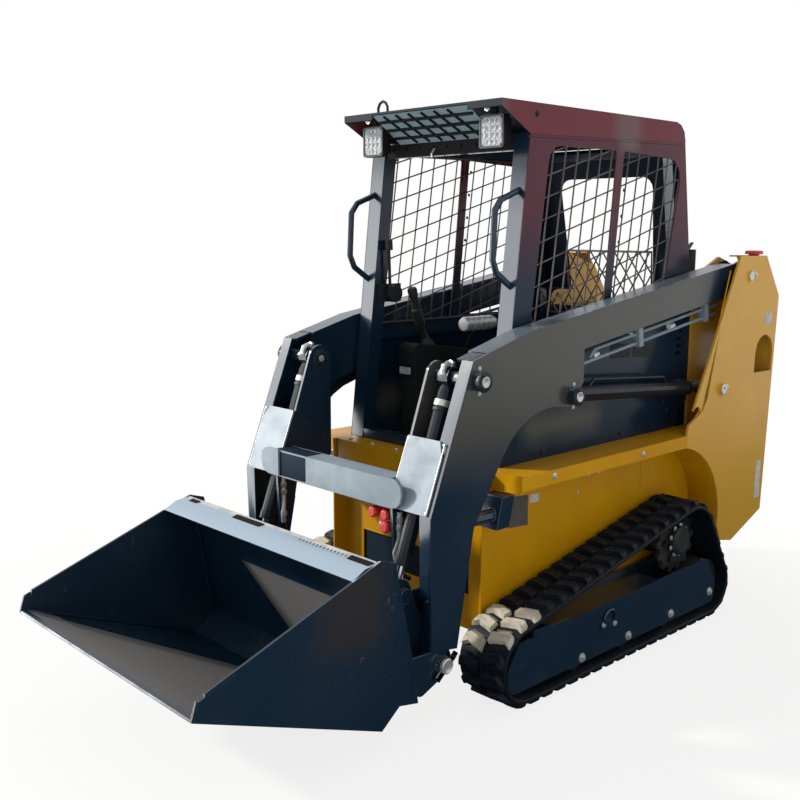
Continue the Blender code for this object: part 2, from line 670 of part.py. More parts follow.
def make_window_mesh(name, side):
    """Skewed wire guard welded to a rim behind the side windows."""
    bars = lattice((side * MESH_X, 0.180, 1.100), (0.0, 0.971, 0.238), (0.0, 0.147, 0.989),
                   1.160, 0.900, (6, 4), 0.006, 0.006)
    region = rounded(MESH_REGION)
    low, high = side * (MESH_X - 0.01), side * (MESH_X + 0.01)
    bars = combine(bars, [prism(region, low, high)], "INTERSECT")
    rim = cut(prism(region, side * (MESH_X - 0.0035), side * (MESH_X + 0.0035)),
              prism(rounded(MESH_RIM), low, high))
    node(f"window_mesh_{name}", weld(rim, bars), "slate_paint", CARRIERS["machine"])


def pillar_face(z):
    """Y of the front face of the leaning front pillars at a height."""
    lean = (PILLAR_HEAD[0] - PILLAR_FOOT[0]) / (PILLAR_HEAD[1] - PILLAR_FOOT[1])
    return PILLAR_FOOT[0] + lean * (z - PILLAR_FOOT[1])


def make_cab_frame():
    """Welded tube frame of the cab: pillars, sills, headers and rear posts."""
    base, head = HULL_TOP + GAP, 1.900
    parts = []
    for _, side in SIDES:
        outer, inner = side * INSIDE, side * (CAB_HALF_WIDTH - PILLAR_WIDTH)
        parts.append(prism([(pillar_face(base), base), (pillar_face(base) + 0.060, base),
                            (pillar_face(head) + 0.060, head), (pillar_face(head), head)], inner, outer))
        parts.append(prism([(1.290, base), (1.340, base), (1.340, 1.180), (1.320, 1.394), (1.240, head),
                            (1.200, head), (1.280, 1.394), (1.290, 1.180)], side * 0.330, side * 0.372))
        parts.append(box(sorted((side * 0.338, outer)), (0.240, 1.300), (base, base + 0.040)))
        parts.append(box(sorted((side * 0.338, outer)), (0.330, 1.232), (1.880, 1.912)))
        parts.append(box(sorted((side * 0.362, outer)), (0.280, 1.300), (1.150, 1.190)))
    lap = CAB_HALF_WIDTH - PILLAR_WIDTH + 0.003
    parts.append(box((-lap, lap), (0.195, 0.240), (base, base + 0.036)))
    parts.append(box((-lap, lap), HEADER_Y, (1.845, 1.898)))
    parts.append(box((-0.340, 0.340), (1.205, 1.235), (1.868, 1.898)))
    parts.append(box((-0.340, 0.340), (1.295, 1.335), (base + 0.002, base + 0.042)))
    node("cab_frame", weld(*parts), "slate_paint", CARRIERS["machine"])


REAR_OPENING = (        # half widths and heights of the rear window above its wider lower part
    (0.330, 1.205, 0.020), (0.330, 1.310, 0.045), (0.212, 1.318, 0.020), (0.236, 1.797, 0.050),
)


def make_cab_rear():
    """Rear sheet with its window opening, wider below the window."""
    sheet = strip([CAB_BACK[3], CAB_BACK[2], CAB_BACK[1], (1.2716, 1.9180)], CAB_SHEET, -INSIDE, INSIDE)
    corners = [*REAR_OPENING, *((-half, z, radius) for half, z, radius in reversed(REAR_OPENING))]
    opening = prism(rounded(corners), SEAM_REAR[0] - 0.070, CAB_BACK[2][0] + 0.070, axis="y")
    node("cab_rear_panel", cut(sheet, opening), "slate_paint", CARRIERS["machine"])


VISOR_HALF = 0.236                      # closing plate between the two lamps


def make_roof():
    """Folded roof shell: top, side skirts, front cheeks, closing plate, rear curve and lifting eye."""
    skin = CAB_SHEET
    shell = prism(rounded([(ROOF_FRONT, ROOF_TOP, 0.0), (ROOF_FRONT, 1.972, 0.0), (*PILLAR_HEAD, 0.0),
                           (*SEAM_REAR, 0.0), (ROOF_REAR, ROOF_TOP, 0.070)]),
                  -CAB_HALF_WIDTH, CAB_HALF_WIDTH)
    hollow = prism(rounded([(ROOF_FRONT + skin, ROOF_TOP - skin, 0.0), (ROOF_FRONT + skin, 1.80, 0.0),
                            (SEAM_REAR[0] - skin, 1.80, 0.0),
                            (ROOF_REAR - skin, ROOF_TOP - skin, 0.066)]),
                   -CAB_HALF_WIDTH + skin, CAB_HALF_WIDTH - skin)
    eye = bent_tube([(-0.260, 0.220, ROOF_TOP - 0.003), (-0.260, 0.220, 2.020), (-0.250, 0.220, 2.036),
                     (-0.235, 0.220, 2.042), (-0.220, 0.220, 2.036), (-0.210, 0.220, 2.020),
                     (-0.210, 0.220, ROOF_TOP - 0.003)], 0.005, 8)
    notch = box((-VISOR_HALF, VISOR_HALF), (ROOF_FRONT - 0.01, ROOF_FRONT + 0.01), (1.95, ROOF_TOP - 0.0075))
    visor = strip([(HEADER_Y[0] - 0.001, 1.8945), (ROOF_FRONT + 0.003, ROOF_TOP - 0.0025)], skin,
                  -VISOR_HALF, VISOR_HALF)
    node("cab_roof", weld(cut(shell, hollow, notch), eye, visor), "cab_paint", CARRIERS["machine"])


THROTTLE_DRUM = (0.342, 1.332)
HANDLE_ROUTE = ((0.320, 1.719), (0.202, 1.676), (0.173, 1.640), (0.165, 1.480), (0.186, 1.436),
                (0.290, 1.368))


LAMP_X = 0.294
LAMP_HALF = 0.054
LAMP_Z = (1.846, 1.956)
LAMP_Y = (0.226, 0.252)
LAMP_FINS = 5


def make_lamp(name, middle):
    """Square work light with cooling fins, hung from the roof on a flat stem."""
    corners = [(middle - LAMP_HALF, LAMP_Z[0], 0.006), (middle + LAMP_HALF, LAMP_Z[0], 0.006),
               (middle + LAMP_HALF, LAMP_Z[1], 0.006), (middle - LAMP_HALF, LAMP_Z[1], 0.006)]
    lamp = prism(rounded(corners, 45.0), *LAMP_Y, axis="y")
    fins = []
    for k in range(LAMP_FINS):
        spot_x = middle + (2.0 * k / (LAMP_FINS - 1) - 1.0) * (LAMP_HALF - 0.010)
        fins.append(box((spot_x - 0.003, spot_x + 0.003), (LAMP_Y[1] - 0.001, LAMP_Y[1] + 0.018),
                        (LAMP_Z[0] + 0.012, LAMP_Z[1] - 0.012)))
    stem = box((middle - 0.012, middle + 0.012), (LAMP_Y[0] + 0.008, LAMP_Y[1] - 0.008),
               (LAMP_Z[1] - 0.005, ROOF_TOP - CAB_SHEET - GAP))
    node(f"work_light_{name}", weld(lamp, *fins, stem), "lamp_glass", CARRIERS["machine"])


def make_cab_fittings():
    """Grab handles, lamps, throttle, seat and control consoles."""
    for name, side in SIDES:
        bar = bent_tube([(side * 0.360, y, z) for y, z in HANDLE_ROUTE], 0.011, 8)
        behind = prism([(pillar_face(1.200) - GAP, 1.200), (0.700, 1.200), (0.700, 1.850),
                        (pillar_face(1.850) - GAP, 1.850)], side * 0.300, side * 0.420)
        node(f"grab_handle_{name}", cut(bar, behind), "slate_paint", CARRIERS["machine"])
        make_lamp(name, side * LAMP_X)
        make_console(name, side)
    bracket = box((-0.3207, -0.315), (0.268, 0.390), (1.300, 1.370))
    drum = disc(THROTTLE_DRUM, 0.034, -0.317, -0.290, sides=16)
    stalk = rod_between((-0.300, 0.318, 1.350), (-0.300, 0.311, 1.505), 0.006, 8)
    knob = rod_between((-0.300, 0.311, 1.500), (-0.300, 0.309, 1.537), 0.016, 10)
    node("throttle_lever", weld(bracket, drum, stalk, knob), "black_vinyl", CARRIERS["machine"])
    pan = [(0.700, CAB_FLOOR + SHEET + GAP), (1.200, CAB_FLOOR + SHEET + GAP), (1.200, 0.700), (0.700, 0.700)]
    box_part = prism(pan, -0.200, 0.200)
    cushion = prism(rounded([(0.640, 0.695, 0.02), (1.160, 0.695, 0.02), (1.160, 0.810, 0.04),
                             (0.640, 0.820, 0.04)]), -0.225, 0.225)
    back = prism(rounded([(1.120, 0.740, 0.02), (1.215, 0.740, 0.02), (1.250, 1.160, 0.04),
                          (1.155, 1.160, 0.04)]), -0.215, 0.215)
    node("seat", weld(box_part, cushion, back), "black_vinyl", CARRIERS["machine"])


def make_console(name, side):
    """Arm-rest console with its joystick, standing on the cab floor."""
    base = CAB_FLOOR + SHEET + GAP
    body = prism(rounded([(0.440, base, 0.0), (0.980, base, 0.0), (0.980, 1.050, 0.03), (0.385, 1.140, 0.03),
                          (0.395, 1.090, 0.0)]), side * 0.240, side * 0.330)
    stick = turned([(0.0, 0.034), (0.020, 0.028), (0.040, 0.013), (0.090, 0.013), (0.105, 0.021),
                    (0.165, 0.022), (0.180, 0.012)],
                   (side * 0.280, 0.505, 1.112), (side * 0.280, 0.440, 1.270), 8)
    node(f"control_console_{name}", weld(body, stick), "black_vinyl", CARRIERS["machine"])


FILLER_CAP = (0.482, 1.702)
EXHAUST = (0.290, 1.520)
EXHAUST_TOP = 1.500


def make_caps():
    """Red filler cap on the left tower and the exhaust behind the cab."""
    x, y = FILLER_CAP
    cap = turned([(0.0, 0.022), (0.005, 0.022), (0.005, 0.037), (0.017, 0.037), (0.020, 0.032)],
                 (x, y, TOWER_TOP + GAP), (x, y, 2.0), 16)
    node("filler_cap", cap, "red_plastic", CARRIERS["machine"])
    x, y = EXHAUST
    pipe = rod_between((x, y, HOOD_TOP + GAP), (x, y, EXHAUST_TOP), 0.021)
    flap = prism([(y - 0.020, EXHAUST_TOP - 0.002), (y + 0.012, EXHAUST_TOP + 0.026),
                  (y + 0.010, EXHAUST_TOP + 0.030), (y - 0.024, EXHAUST_TOP - 0.002)], x - 0.012, x + 0.004)
    muffler = turned([(0.0, 0.030), (0.012, 0.045), (0.120, 0.045), (0.132, 0.023)],
                     (x, y, HOOD_TOP + 0.012), (x, y, 2.0), 14)
    node("exhaust", weld(pipe, muffler, flap), "dark_casting", CARRIERS["machine"])


# ---------------------------------------------------------------- loader arms
KNEE = (-0.059, 1.173)
KINK = (-0.243, 0.696)
LEG_FOOT = ((-0.233, 0.265), (-0.115, 0.245))
LEG_REAR = (-0.044, 0.630)
ARM_HOLLOW = ((0.345, 0.678), 0.304)
BEAM_TOP = ((0.220, 1.249), (1.530, 1.443))
BEAM_BOTTOM = ((0.518, 1.168), (1.408, 1.298))
BEAM_END_RADIUS = 0.064
PIN_BORE = 0.0232


def arm_outline():
    """Outer plate of an arm, from the knee round the pivot and down the leg."""
    points = [KNEE, *BEAM_TOP]
    points += arc(ARM_PIVOT, BEAM_END_RADIUS, 99.0, -81.0)
    points += [BEAM_BOTTOM[1], BEAM_BOTTOM[0]]
    points += [(0.518, 1.050), *arc(LIFT_ARM_PIN, 0.044, 25.0, -65.0)]
    points += arc(*ARM_HOLLOW, 78.0, 147.0, 11.5)
    points += [LEG_REAR, LEG_FOOT[1], LEG_FOOT[0], KINK]
    return points


def make_arm(name, side):
    """Bent arm: outer plate, inner leg plate, closed beam, rear web and foot lug."""
    arms = CARRIERS["arm_pivot"]
    outer = [side * (ARM_HALF_WIDTH - ARM_PLATE), side * ARM_HALF_WIDTH]
    lap_out, lap_in = side * (ARM_HALF_WIDTH - ARM_PLATE + 0.003), side * (BEAM_INNER + 0.003)
    leg = [*arc(TILT_ARM_PIN, 0.050, 0.0, 155.0), (-0.154, 0.920), (-0.2385, 0.700), (-0.230, 0.560),
           (-0.218, 0.300), (-0.112, 0.290), LEG_REAR, (0.015, 0.745)]
    beam = [(0.012, 1.193), *BEAM_TOP, *arc(ARM_PIVOT, BEAM_END_RADIUS, 99.0, -81.0), BEAM_BOTTOM[1],
            BEAM_BOTTOM[0], (0.400, 1.120), (0.250, 1.040), (0.012, 0.960)]
    parts = [
        prism(arm_outline(), *outer),
        prism(beam, side * BEAM_INNER, side * (BEAM_INNER + ARM_PLATE)),
        prism(leg, side * INNER_PLATE, side * (INNER_PLATE + ARM_PLATE)),
        strip([(-0.1115, 0.264), (-0.0405, 0.6295), (0.0185, 0.745), (0.0185, 1.060)], 0.008,
              side * (INNER_PLATE + 0.004), lap_out),
        strip([BEAM_TOP[1], BEAM_TOP[0], (0.012, 1.193)], 0.008, lap_in, lap_out),
        strip([BEAM_BOTTOM[0], BEAM_BOTTOM[1]], 0.008, lap_in, lap_out),
        strip([KNEE, KINK, (-0.2395, 0.440)], 0.008, side * 0.438, lap_out),
        prism([(-0.188, 0.560), (-0.190, 0.330), *arc(COUPLER_PIN, 0.044, 160.0, 350.0),
               (-0.105, 0.300), (-0.052, 0.560)], side * 0.408, side * 0.453),
        disc(LIFT_ARM_PIN, PIN_RADIUS, side * 0.398, side * (ARM_HALF_WIDTH + 0.002)),
        prism([(0.400, 1.130), (0.400, 1.010), *arc(LIFT_ARM_PIN, 0.040, 180.0, 360.0), (0.500, 1.010),
               (0.530, 1.180)], side * BEAM_INNER, side * (BEAM_INNER + ARM_PLATE)),
        disc(TILT_ARM_PIN, PIN_RADIUS, side * (INNER_PLATE - 0.008), side * (ARM_HALF_WIDTH + 0.002)),
        disc(LIFT_ARM_PIN, 0.031, side * (ARM_HALF_WIDTH - 0.002), side * (ARM_HALF_WIDTH + 0.030)),
        disc(TILT_ARM_PIN, 0.031, side * (ARM_HALF_WIDTH - 0.002), side * (ARM_HALF_WIDTH + 0.030)),
        disc(ARM_PIVOT, 0.040, side * BEAM_INNER, side * ARM_HALF_WIDTH),
    ]
    arm = cut(weld(*parts),
              disc(ARM_PIVOT, PIN_BORE, side * (BEAM_INNER - 0.02), side * (ARM_HALF_WIDTH + 0.02)),
              disc(COUPLER_PIN, PIN_BORE, side * 0.395, side * 0.470))
    node(f"loader_arm_{name}", arm, "slate_paint", arms)


TUBE_Y = (-0.250, -0.168)
TUBE_Z = (0.700, 0.797)
PAD_REACH = 0.370                       # round end plates lap over the covers
COVER_SPAN = (0.266, 0.504)             # from the knee along the leg's front
COVER_EDGE = 0.469
COVER_CHAMFER = (0.024, 0.050)


def make_arm_links():
    """Cross tube between the legs and the cover plates on their fronts."""
    arms = CARRIERS["arm_pivot"]
    reach = INNER_PLATE - GAP
    tube = box((-reach, reach), TUBE_Y, TUBE_Z)
    hollow = box((-reach - 0.01, reach + 0.01), (TUBE_Y[0] + SHEET, TUBE_Y[1] - SHEET),
                 (TUBE_Z[0] + SHEET, TUBE_Z[1] - SHEET))
    pads = []
    for _, side in SIDES:
        rows = [(side * 0.268, TUBE_Z[0] + 0.004, 0.0), (side * PAD_REACH, TUBE_Z[0] + 0.004, 0.045),
                (side * PAD_REACH, TUBE_Z[1] + 0.004, 0.038), (side * 0.268, TUBE_Z[1] + 0.004, 0.0)]
        pads.append(prism(rounded(rows), TUBE_Y[0] - 0.008, TUBE_Y[0] + 0.001, axis="y"))
    node("arm_cross_tube", weld(cut(tube, hollow), *pads), "bare_steel", arms)
    line = direction(KNEE, KINK)[0]
    normal = (line[1], -line[0])
    if normal[0] > 0.0:
        normal = (-normal[0], -normal[1])
    for name, side in SIDES:
        top, bottom = (shifted(shifted(KNEE, line, reach), normal, GAP) for reach in COVER_SPAN)
        plate = strip([bottom, top], 0.0065, side * (INNER_PLATE + 0.001), side * COVER_EDGE)
        beyond, above = COVER_EDGE + 0.002, top[1] + 0.002
        corner = [(side * (COVER_EDGE - COVER_CHAMFER[0]), above), (side * beyond, above),
                  (side * beyond, top[1] - COVER_CHAMFER[1])]
        chamfer = prism(corner, top[0] - 0.05, top[0] + 0.02, axis="y")
        node(f"arm_cover_{name}", cut(plate, chamfer), "bare_steel", arms)


PIPE_X = 0.445
PIPE_RADIUS = 0.0065
PIPE_DROPS = (0.030, 0.066)             # below the beam
PIPE_CLAMPS = (0.386, 0.860)            # along the beam's lower edge


def make_arm_pipes(name, side):
    """Two steel lines under an arm's beam, held by two clamp blocks."""
    (along, reach) = direction(*BEAM_BOTTOM)
    down = (along[1], -along[0])
    middle = side * PIPE_X

    def under(distance, drop):
        return shifted(shifted(BEAM_BOTTOM[0], along, distance), down, drop)

    upper, lower = PIPE_DROPS
    routes = ([under(0.080, lower - 0.013), under(0.112, upper), under(reach + 0.070, upper)],
              [under(-0.040, lower), under(reach + 0.060, lower)])
    parts = [bent_tube([(middle, *point) for point in route], PIPE_RADIUS, 8) for route in routes]
    for distance in PIPE_CLAMPS:
        corners = [under(distance - 0.014, GAP), under(distance + 0.014, GAP),
                   under(distance + 0.014, lower + 0.014), under(distance - 0.014, lower + 0.014)]
        parts.append(prism(corners, middle - 0.017, middle + 0.017))
    node(f"arm_pipes_{name}", weld(*parts), "bare_steel", CARRIERS["arm_pivot"])


def make_arm_stop(name, side):
    """Bracket on the hull side with the rubber buffer that an arm lowers onto."""
    bracket = prism([(0.078, 0.596), (0.140, 0.596), (0.165, 0.704), (0.103, 0.704)],
                    side * (HULL_HALF_WIDTH + GAP), side * 0.478)
    buffer = turned([(0.0, 0.024), (0.060, 0.024), (0.110, 0.020)],
                    (side * 0.440, 0.095, 0.640), (side * 0.440, -0.50, 0.640), 12)
    node(f"arm_stop_{name}", weld(bracket, buffer), "slate_paint", CARRIERS["machine"])


# ---------------------------------------------------------------- cylinders
def spot(x, start, along, distance):
    """Point in space at a distance along a line of the plane at x."""
    return (x, *shifted(start, along, distance))


def make_lift_cylinder(name, side):
    """Barrel pinned on the arm; rod with its own pin stub towards the tower."""
    barrel_hinge = carrier(f"lift_barrel_{name}_hinge", (side * LIFT_CYLINDER_X, *LIFT_ARM_PIN), "arm_pivot")
    rod_slide = carrier(f"lift_rod_{name}_slide", (side * LIFT_CYLINDER_X, *LIFT_TOWER_PIN),
                        f"lift_barrel_{name}_hinge")
    (along, reach) = direction(LIFT_ARM_PIN, LIFT_TOWER_PIN)
    middle = side * LIFT_CYLINDER_X
    line = (middle, LIFT_ARM_PIN, along)
    gland = 0.805
    body = turned([(0.0, 0.018), (0.026, 0.029), (gland - 0.035, 0.029), (gland - 0.034, 0.0315),
                   (gland, 0.0315)], spot(*line, 0.020), spot(*line, 1.0), 12)
    eye = disc(LIFT_ARM_PIN, 0.034, middle - 0.024, middle + 0.024)
    up = (-along[1], along[0])
    oil_line = [(middle, *shifted(shifted(LIFT_ARM_PIN, along, distance), up, height))
                for distance, height in ((0.150, 0.024), (0.180, 0.048), (0.640, 0.048), (0.665, 0.024))]
    solid = cut(weld(body, eye, bent_tube(oil_line, PIPE_RADIUS, 8)),
                disc(LIFT_ARM_PIN, PIN_BORE, middle - 0.04, middle + 0.04),
                rod_between(spot(*line, 0.120), spot(*line, gland + 0.05), 0.0163))
    node(f"lift_barrel_{name}", solid, "slate_paint", barrel_hinge)
    rod = rod_between(spot(*line, 0.150), spot(*line, reach - 0.020), 0.0155)
    rod_eye = disc(LIFT_TOWER_PIN, 0.032, middle - 0.022, middle + 0.022)
    pin = disc(LIFT_TOWER_PIN, 0.020, middle - 0.034, middle + 0.034)
    node(f"lift_rod_{name}", weld(rod, rod_eye, pin), "chrome", rod_slide)


def make_tilt_cylinder(name, side):
    """Barrel pinned at the arm's knee; rod reaching down to the coupler's ears."""
    barrel_hinge = carrier(f"tilt_barrel_{name}_hinge", (side * TILT_CYLINDER_X, *TILT_ARM_PIN), "arm_pivot")
    rod_slide = carrier(f"tilt_rod_{name}_slide", (side * TILT_CYLINDER_X, *TILT_COUPLER_PIN),
                        f"tilt_barrel_{name}_hinge")
    (along, reach) = direction(TILT_ARM_PIN, TILT_COUPLER_PIN)
    middle = side * TILT_CYLINDER_X
    line = (middle, TILT_ARM_PIN, along)
    gland = 0.600
    body = turned([(0.0, 0.018), (0.030, 0.026), (gland - 0.030, 0.026), (gland - 0.029, 0.028),
                   (gland, 0.028)], spot(*line, 0.022), spot(*line, 1.0), 12)
    eye = disc(TILT_ARM_PIN, 0.036, middle - 0.022, middle + 0.022)
    solid = cut(weld(body, eye),
                disc(TILT_ARM_PIN, PIN_BORE, middle - 0.04, middle + 0.04),
                rod_between(spot(*line, 0.110), spot(*line, gland + 0.05), 0.0143))
    node(f"tilt_barrel_{name}", solid, "slate_paint", barrel_hinge)
    rod = rod_between(spot(*line, 0.140), spot(*line, reach - 0.020), 0.0135)
    rod_eye = disc(TILT_COUPLER_PIN, 0.030, middle - 0.021, middle + 0.021)
    node(f"tilt_rod_{name}", weld(rod, rod_eye), "chrome", rod_slide)


# ---------------------------------------------------------------- coupler and bucket
BACK_TOP = (-0.440, 0.590)
BACK_FOOT = (-0.372, 0.165)
COUPLER_EARS = (0.459, 0.471)
TILT_EARS = ((0.322, 0.334), (0.390, 0.402))


def make_coupler():
    """Quick coupler: face plate, outer ears on the foot pins, inner ears for the tilt rods."""
    (down, height) = direction(BACK_TOP, BACK_FOOT)
    out = (-down[1], down[0])

    def behind_back(distance, off):
        return shifted(shifted(BACK_TOP, down, distance), out, off)

    face = strip([behind_back(0.030, GAP), behind_back(height - 0.010, GAP)], 0.012,
                 -COUPLER_EARS[1], COUPLER_EARS[1])
    parts = [face]
    for _, side in SIDES:
        parts.append(prism(rounded([(*behind_back(0.330, 0.004), 0.0), (-0.135, 0.252, 0.030),
                                    (-0.118, 0.176, 0.030), (-0.262, 0.118, 0.020),
                                    (*behind_back(height - 0.011, 0.004), 0.0)]),
                           *(side * x for x in COUPLER_EARS)))
        for pair in TILT_EARS:
            parts.append(prism(rounded([(*behind_back(0.040, 0.004), 0.0), (-0.250, 0.485, 0.040),
                                        (-0.225, 0.400, 0.040), (-0.118, 0.200, 0.040),
                                        (-0.180, 0.150, 0.040), (*behind_back(height - 0.011, 0.004), 0.0)]),
                               *(side * x for x in pair)))
        parts.append(disc(COUPLER_PIN, PIN_RADIUS, side * 0.392, side * 0.474))
        parts.append(disc(COUPLER_PIN, 0.030, side * 0.470, side * 0.482))
        parts.append(disc(TILT_COUPLER_PIN, 0.026, side * 0.400, side * 0.416))
    node("quick_coupler", weld(*parts), "slate_paint", CARRIERS["coupler_pin"])


SIDE_OUTLINE = (
    (-1.122, 0.350), (-1.106, 0.402), (-1.082, 0.398), (-1.079, 0.415), (-0.476, 0.627),
    (-0.418, 0.609), (-0.349, 0.305), (-0.320, 0.136), (-0.399, 0.152), (-0.471, 0.095),
)


def make_bucket():
    """General-purpose bucket: side plates, floor, back, folded lip and cutting edge."""
    pivot = CARRIERS["coupler_pin"]
    inner = BUCKET_HALF_WIDTH - BUCKET_PLATE
    lap = inner + 0.003
    edge, heel = CUTTING_EDGE, BUCKET_HEEL
    along = direction(edge, heel)[0]
    up = (-along[1], along[0])
    parts = []
    for _, side in SIDES:
        parts.append(prism(SIDE_OUTLINE, side * inner, side * BUCKET_HALF_WIDTH))
    skin = [BACK_TOP, BACK_FOOT, heel, shifted(edge, along, 0.060)]
    parts.append(strip(skin[::-1], 0.007, -lap, lap))
    parts.append(strip([BACK_TOP, (-0.476, 0.622), (-0.534, 0.615), (-0.581, 0.590)], 0.006, -lap, lap))
    blade = [edge, shifted(edge, along, 0.110), shifted(shifted(edge, along, 0.110), up, 0.012),
             shifted(shifted(edge, along, 0.020), up, 0.012)]
    parts.append(prism(blade, -lap, lap))
    node("bucket", weld(*parts), "slate_paint", pivot)


def make_auxiliary_couplers():
    """Bracket with three capped hydraulic couplers beside the left leg."""
    arms = CARRIERS["arm_pivot"]
    face = TUBE_Y[1]
    plate = box((0.178, INNER_PLATE - GAP), (face - 0.008, face), (0.596, TUBE_Z[0] - GAP))
    parts = [plate]
    for x, z in ((0.203, 0.664), (0.262, 0.664), (0.262, 0.622)):
        parts.append(turned([(0.0, 0.012), (0.034, 0.012), (0.034, 0.020), (0.054, 0.020), (0.060, 0.015)],
                            (x, face - 0.006, z), (x, -1.0, z), 8))
    node("auxiliary_couplers", weld(*parts), "red_plastic", arms)


def front_and_rear():
    """Extent of the whole machine along Y, from the pieces that bound it."""
    return CUTTING_EDGE[0], max(TOWER_REAR_EDGE[1][0], REAR_HINGE[1] + 0.010)


def build():
    """Make every carrier and piece of the machine."""
    start_clean()
    front, rear = front_and_rear()
    carrier("machine", (0.0, -(front + rear) / 2.0, 0.0))
    carrier("arm_pivot", (0.0, *ARM_PIVOT))
    carrier("coupler_pin", (0.0, *COUPLER_PIN), "arm_pivot")
    for name, side in SIDES:
        make_track(name, side)
        make_track_frame(name, side)
        make_idler(name, side, "front_idler", FRONT_WHEEL)
        make_idler(name, side, "rear_idler", REAR_WHEEL)
        make_sprocket(name, side)
        make_fender(name, side)
        make_tower(name, side)
        make_cab_side(name, side)
        make_window_mesh(name, side)
        make_arm(name, side)
        make_arm_pipes(name, side)
        make_arm_stop(name, side)
        make_lift_cylinder(name, side)
        make_tilt_cylinder(name, side)
    make_hull()
    make_engine_bay()
    make_rear_door()
    make_cab_frame()
    make_cab_rear()
    make_roof()
    make_cab_fittings()
    make_caps()
    make_arm_links()
    make_coupler()
    make_bucket()
    make_auxiliary_couplers()


build()
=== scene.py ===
"""Finishes, fittings and studio of a mini skid steer loader.

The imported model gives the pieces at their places.  This script dresses them,
adds the fine parts and sets the camera and the lights.  Lengths are metres in
the model's own frame: -Y is the bucket end, +X the machine's left, +Z up.
"""
import bisect
import json
import logging
import math
from dataclasses import dataclass, replace
from enum import Enum
from typing import Callable, ClassVar, Iterable, Mapping, Optional, Sequence

import bmesh
import bpy
from mathutils import Matrix, Vector

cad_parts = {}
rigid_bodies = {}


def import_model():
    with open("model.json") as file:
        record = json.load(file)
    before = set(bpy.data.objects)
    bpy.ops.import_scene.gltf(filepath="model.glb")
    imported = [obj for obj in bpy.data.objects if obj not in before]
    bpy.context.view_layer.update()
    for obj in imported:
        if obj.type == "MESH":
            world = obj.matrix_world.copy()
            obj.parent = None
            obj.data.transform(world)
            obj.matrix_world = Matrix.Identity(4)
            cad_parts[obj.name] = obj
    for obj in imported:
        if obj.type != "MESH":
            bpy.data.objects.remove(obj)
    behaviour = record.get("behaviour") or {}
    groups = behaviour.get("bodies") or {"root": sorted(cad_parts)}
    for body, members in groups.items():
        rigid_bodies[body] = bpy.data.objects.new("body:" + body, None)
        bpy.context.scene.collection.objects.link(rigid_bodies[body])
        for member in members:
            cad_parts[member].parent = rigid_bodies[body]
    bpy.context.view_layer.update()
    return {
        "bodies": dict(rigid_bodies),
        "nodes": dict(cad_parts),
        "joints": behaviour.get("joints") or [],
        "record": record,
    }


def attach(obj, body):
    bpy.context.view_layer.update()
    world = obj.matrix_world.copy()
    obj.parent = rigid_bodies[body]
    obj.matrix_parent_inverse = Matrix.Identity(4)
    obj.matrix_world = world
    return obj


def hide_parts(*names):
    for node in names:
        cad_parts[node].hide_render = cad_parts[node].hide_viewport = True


Colour = tuple[float, float, float]
Point = tuple[float, float, float]
Flat = tuple[float, float]
BLACK: Colour = (0.0, 0.0, 0.0)
WHITE: Colour = (1.0, 1.0, 1.0)
LOG = logging.getLogger("loader")
SIDES = (("left", 1), ("right", -1))
LEFT, RIGHT = (1.0, 0.0, 0.0), (-1.0, 0.0, 0.0)
FORWARD, BACKWARD = (0.0, -1.0, 0.0), (0.0, 1.0, 0.0)
UP, DOWN = (0.0, 0.0, 1.0), (0.0, 0.0, -1.0)
EDGE = 0.0012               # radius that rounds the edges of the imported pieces
EDGE_ANGLE = 28.0           # degrees above which such an edge is rounded


class Body(Enum):
    """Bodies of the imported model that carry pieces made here."""

    CHASSIS = "chassis"
    ARMS = "loader_arms"
    BUCKET = "bucket"
    DOOR = "rear_door"


def put(name: str, data: bpy.types.ID) -> bpy.types.Object:
    """Object of a mesh, a camera or a light, linked to the scene."""
    thing = bpy.data.objects.new(name, data)
    bpy.context.scene.collection.objects.link(thing)
    return thing


def soften(piece: bpy.types.Object, width: float, angle: float) -> bpy.types.Modifier:
    """Round the edges of a piece that are sharper than an angle in degrees."""
    rounding = piece.modifiers.new("rounded", "BEVEL")
    rounding.width = width
    rounding.segments = 2
    rounding.limit_method = "ANGLE"
    rounding.angle_limit = math.radians(angle)
    return rounding


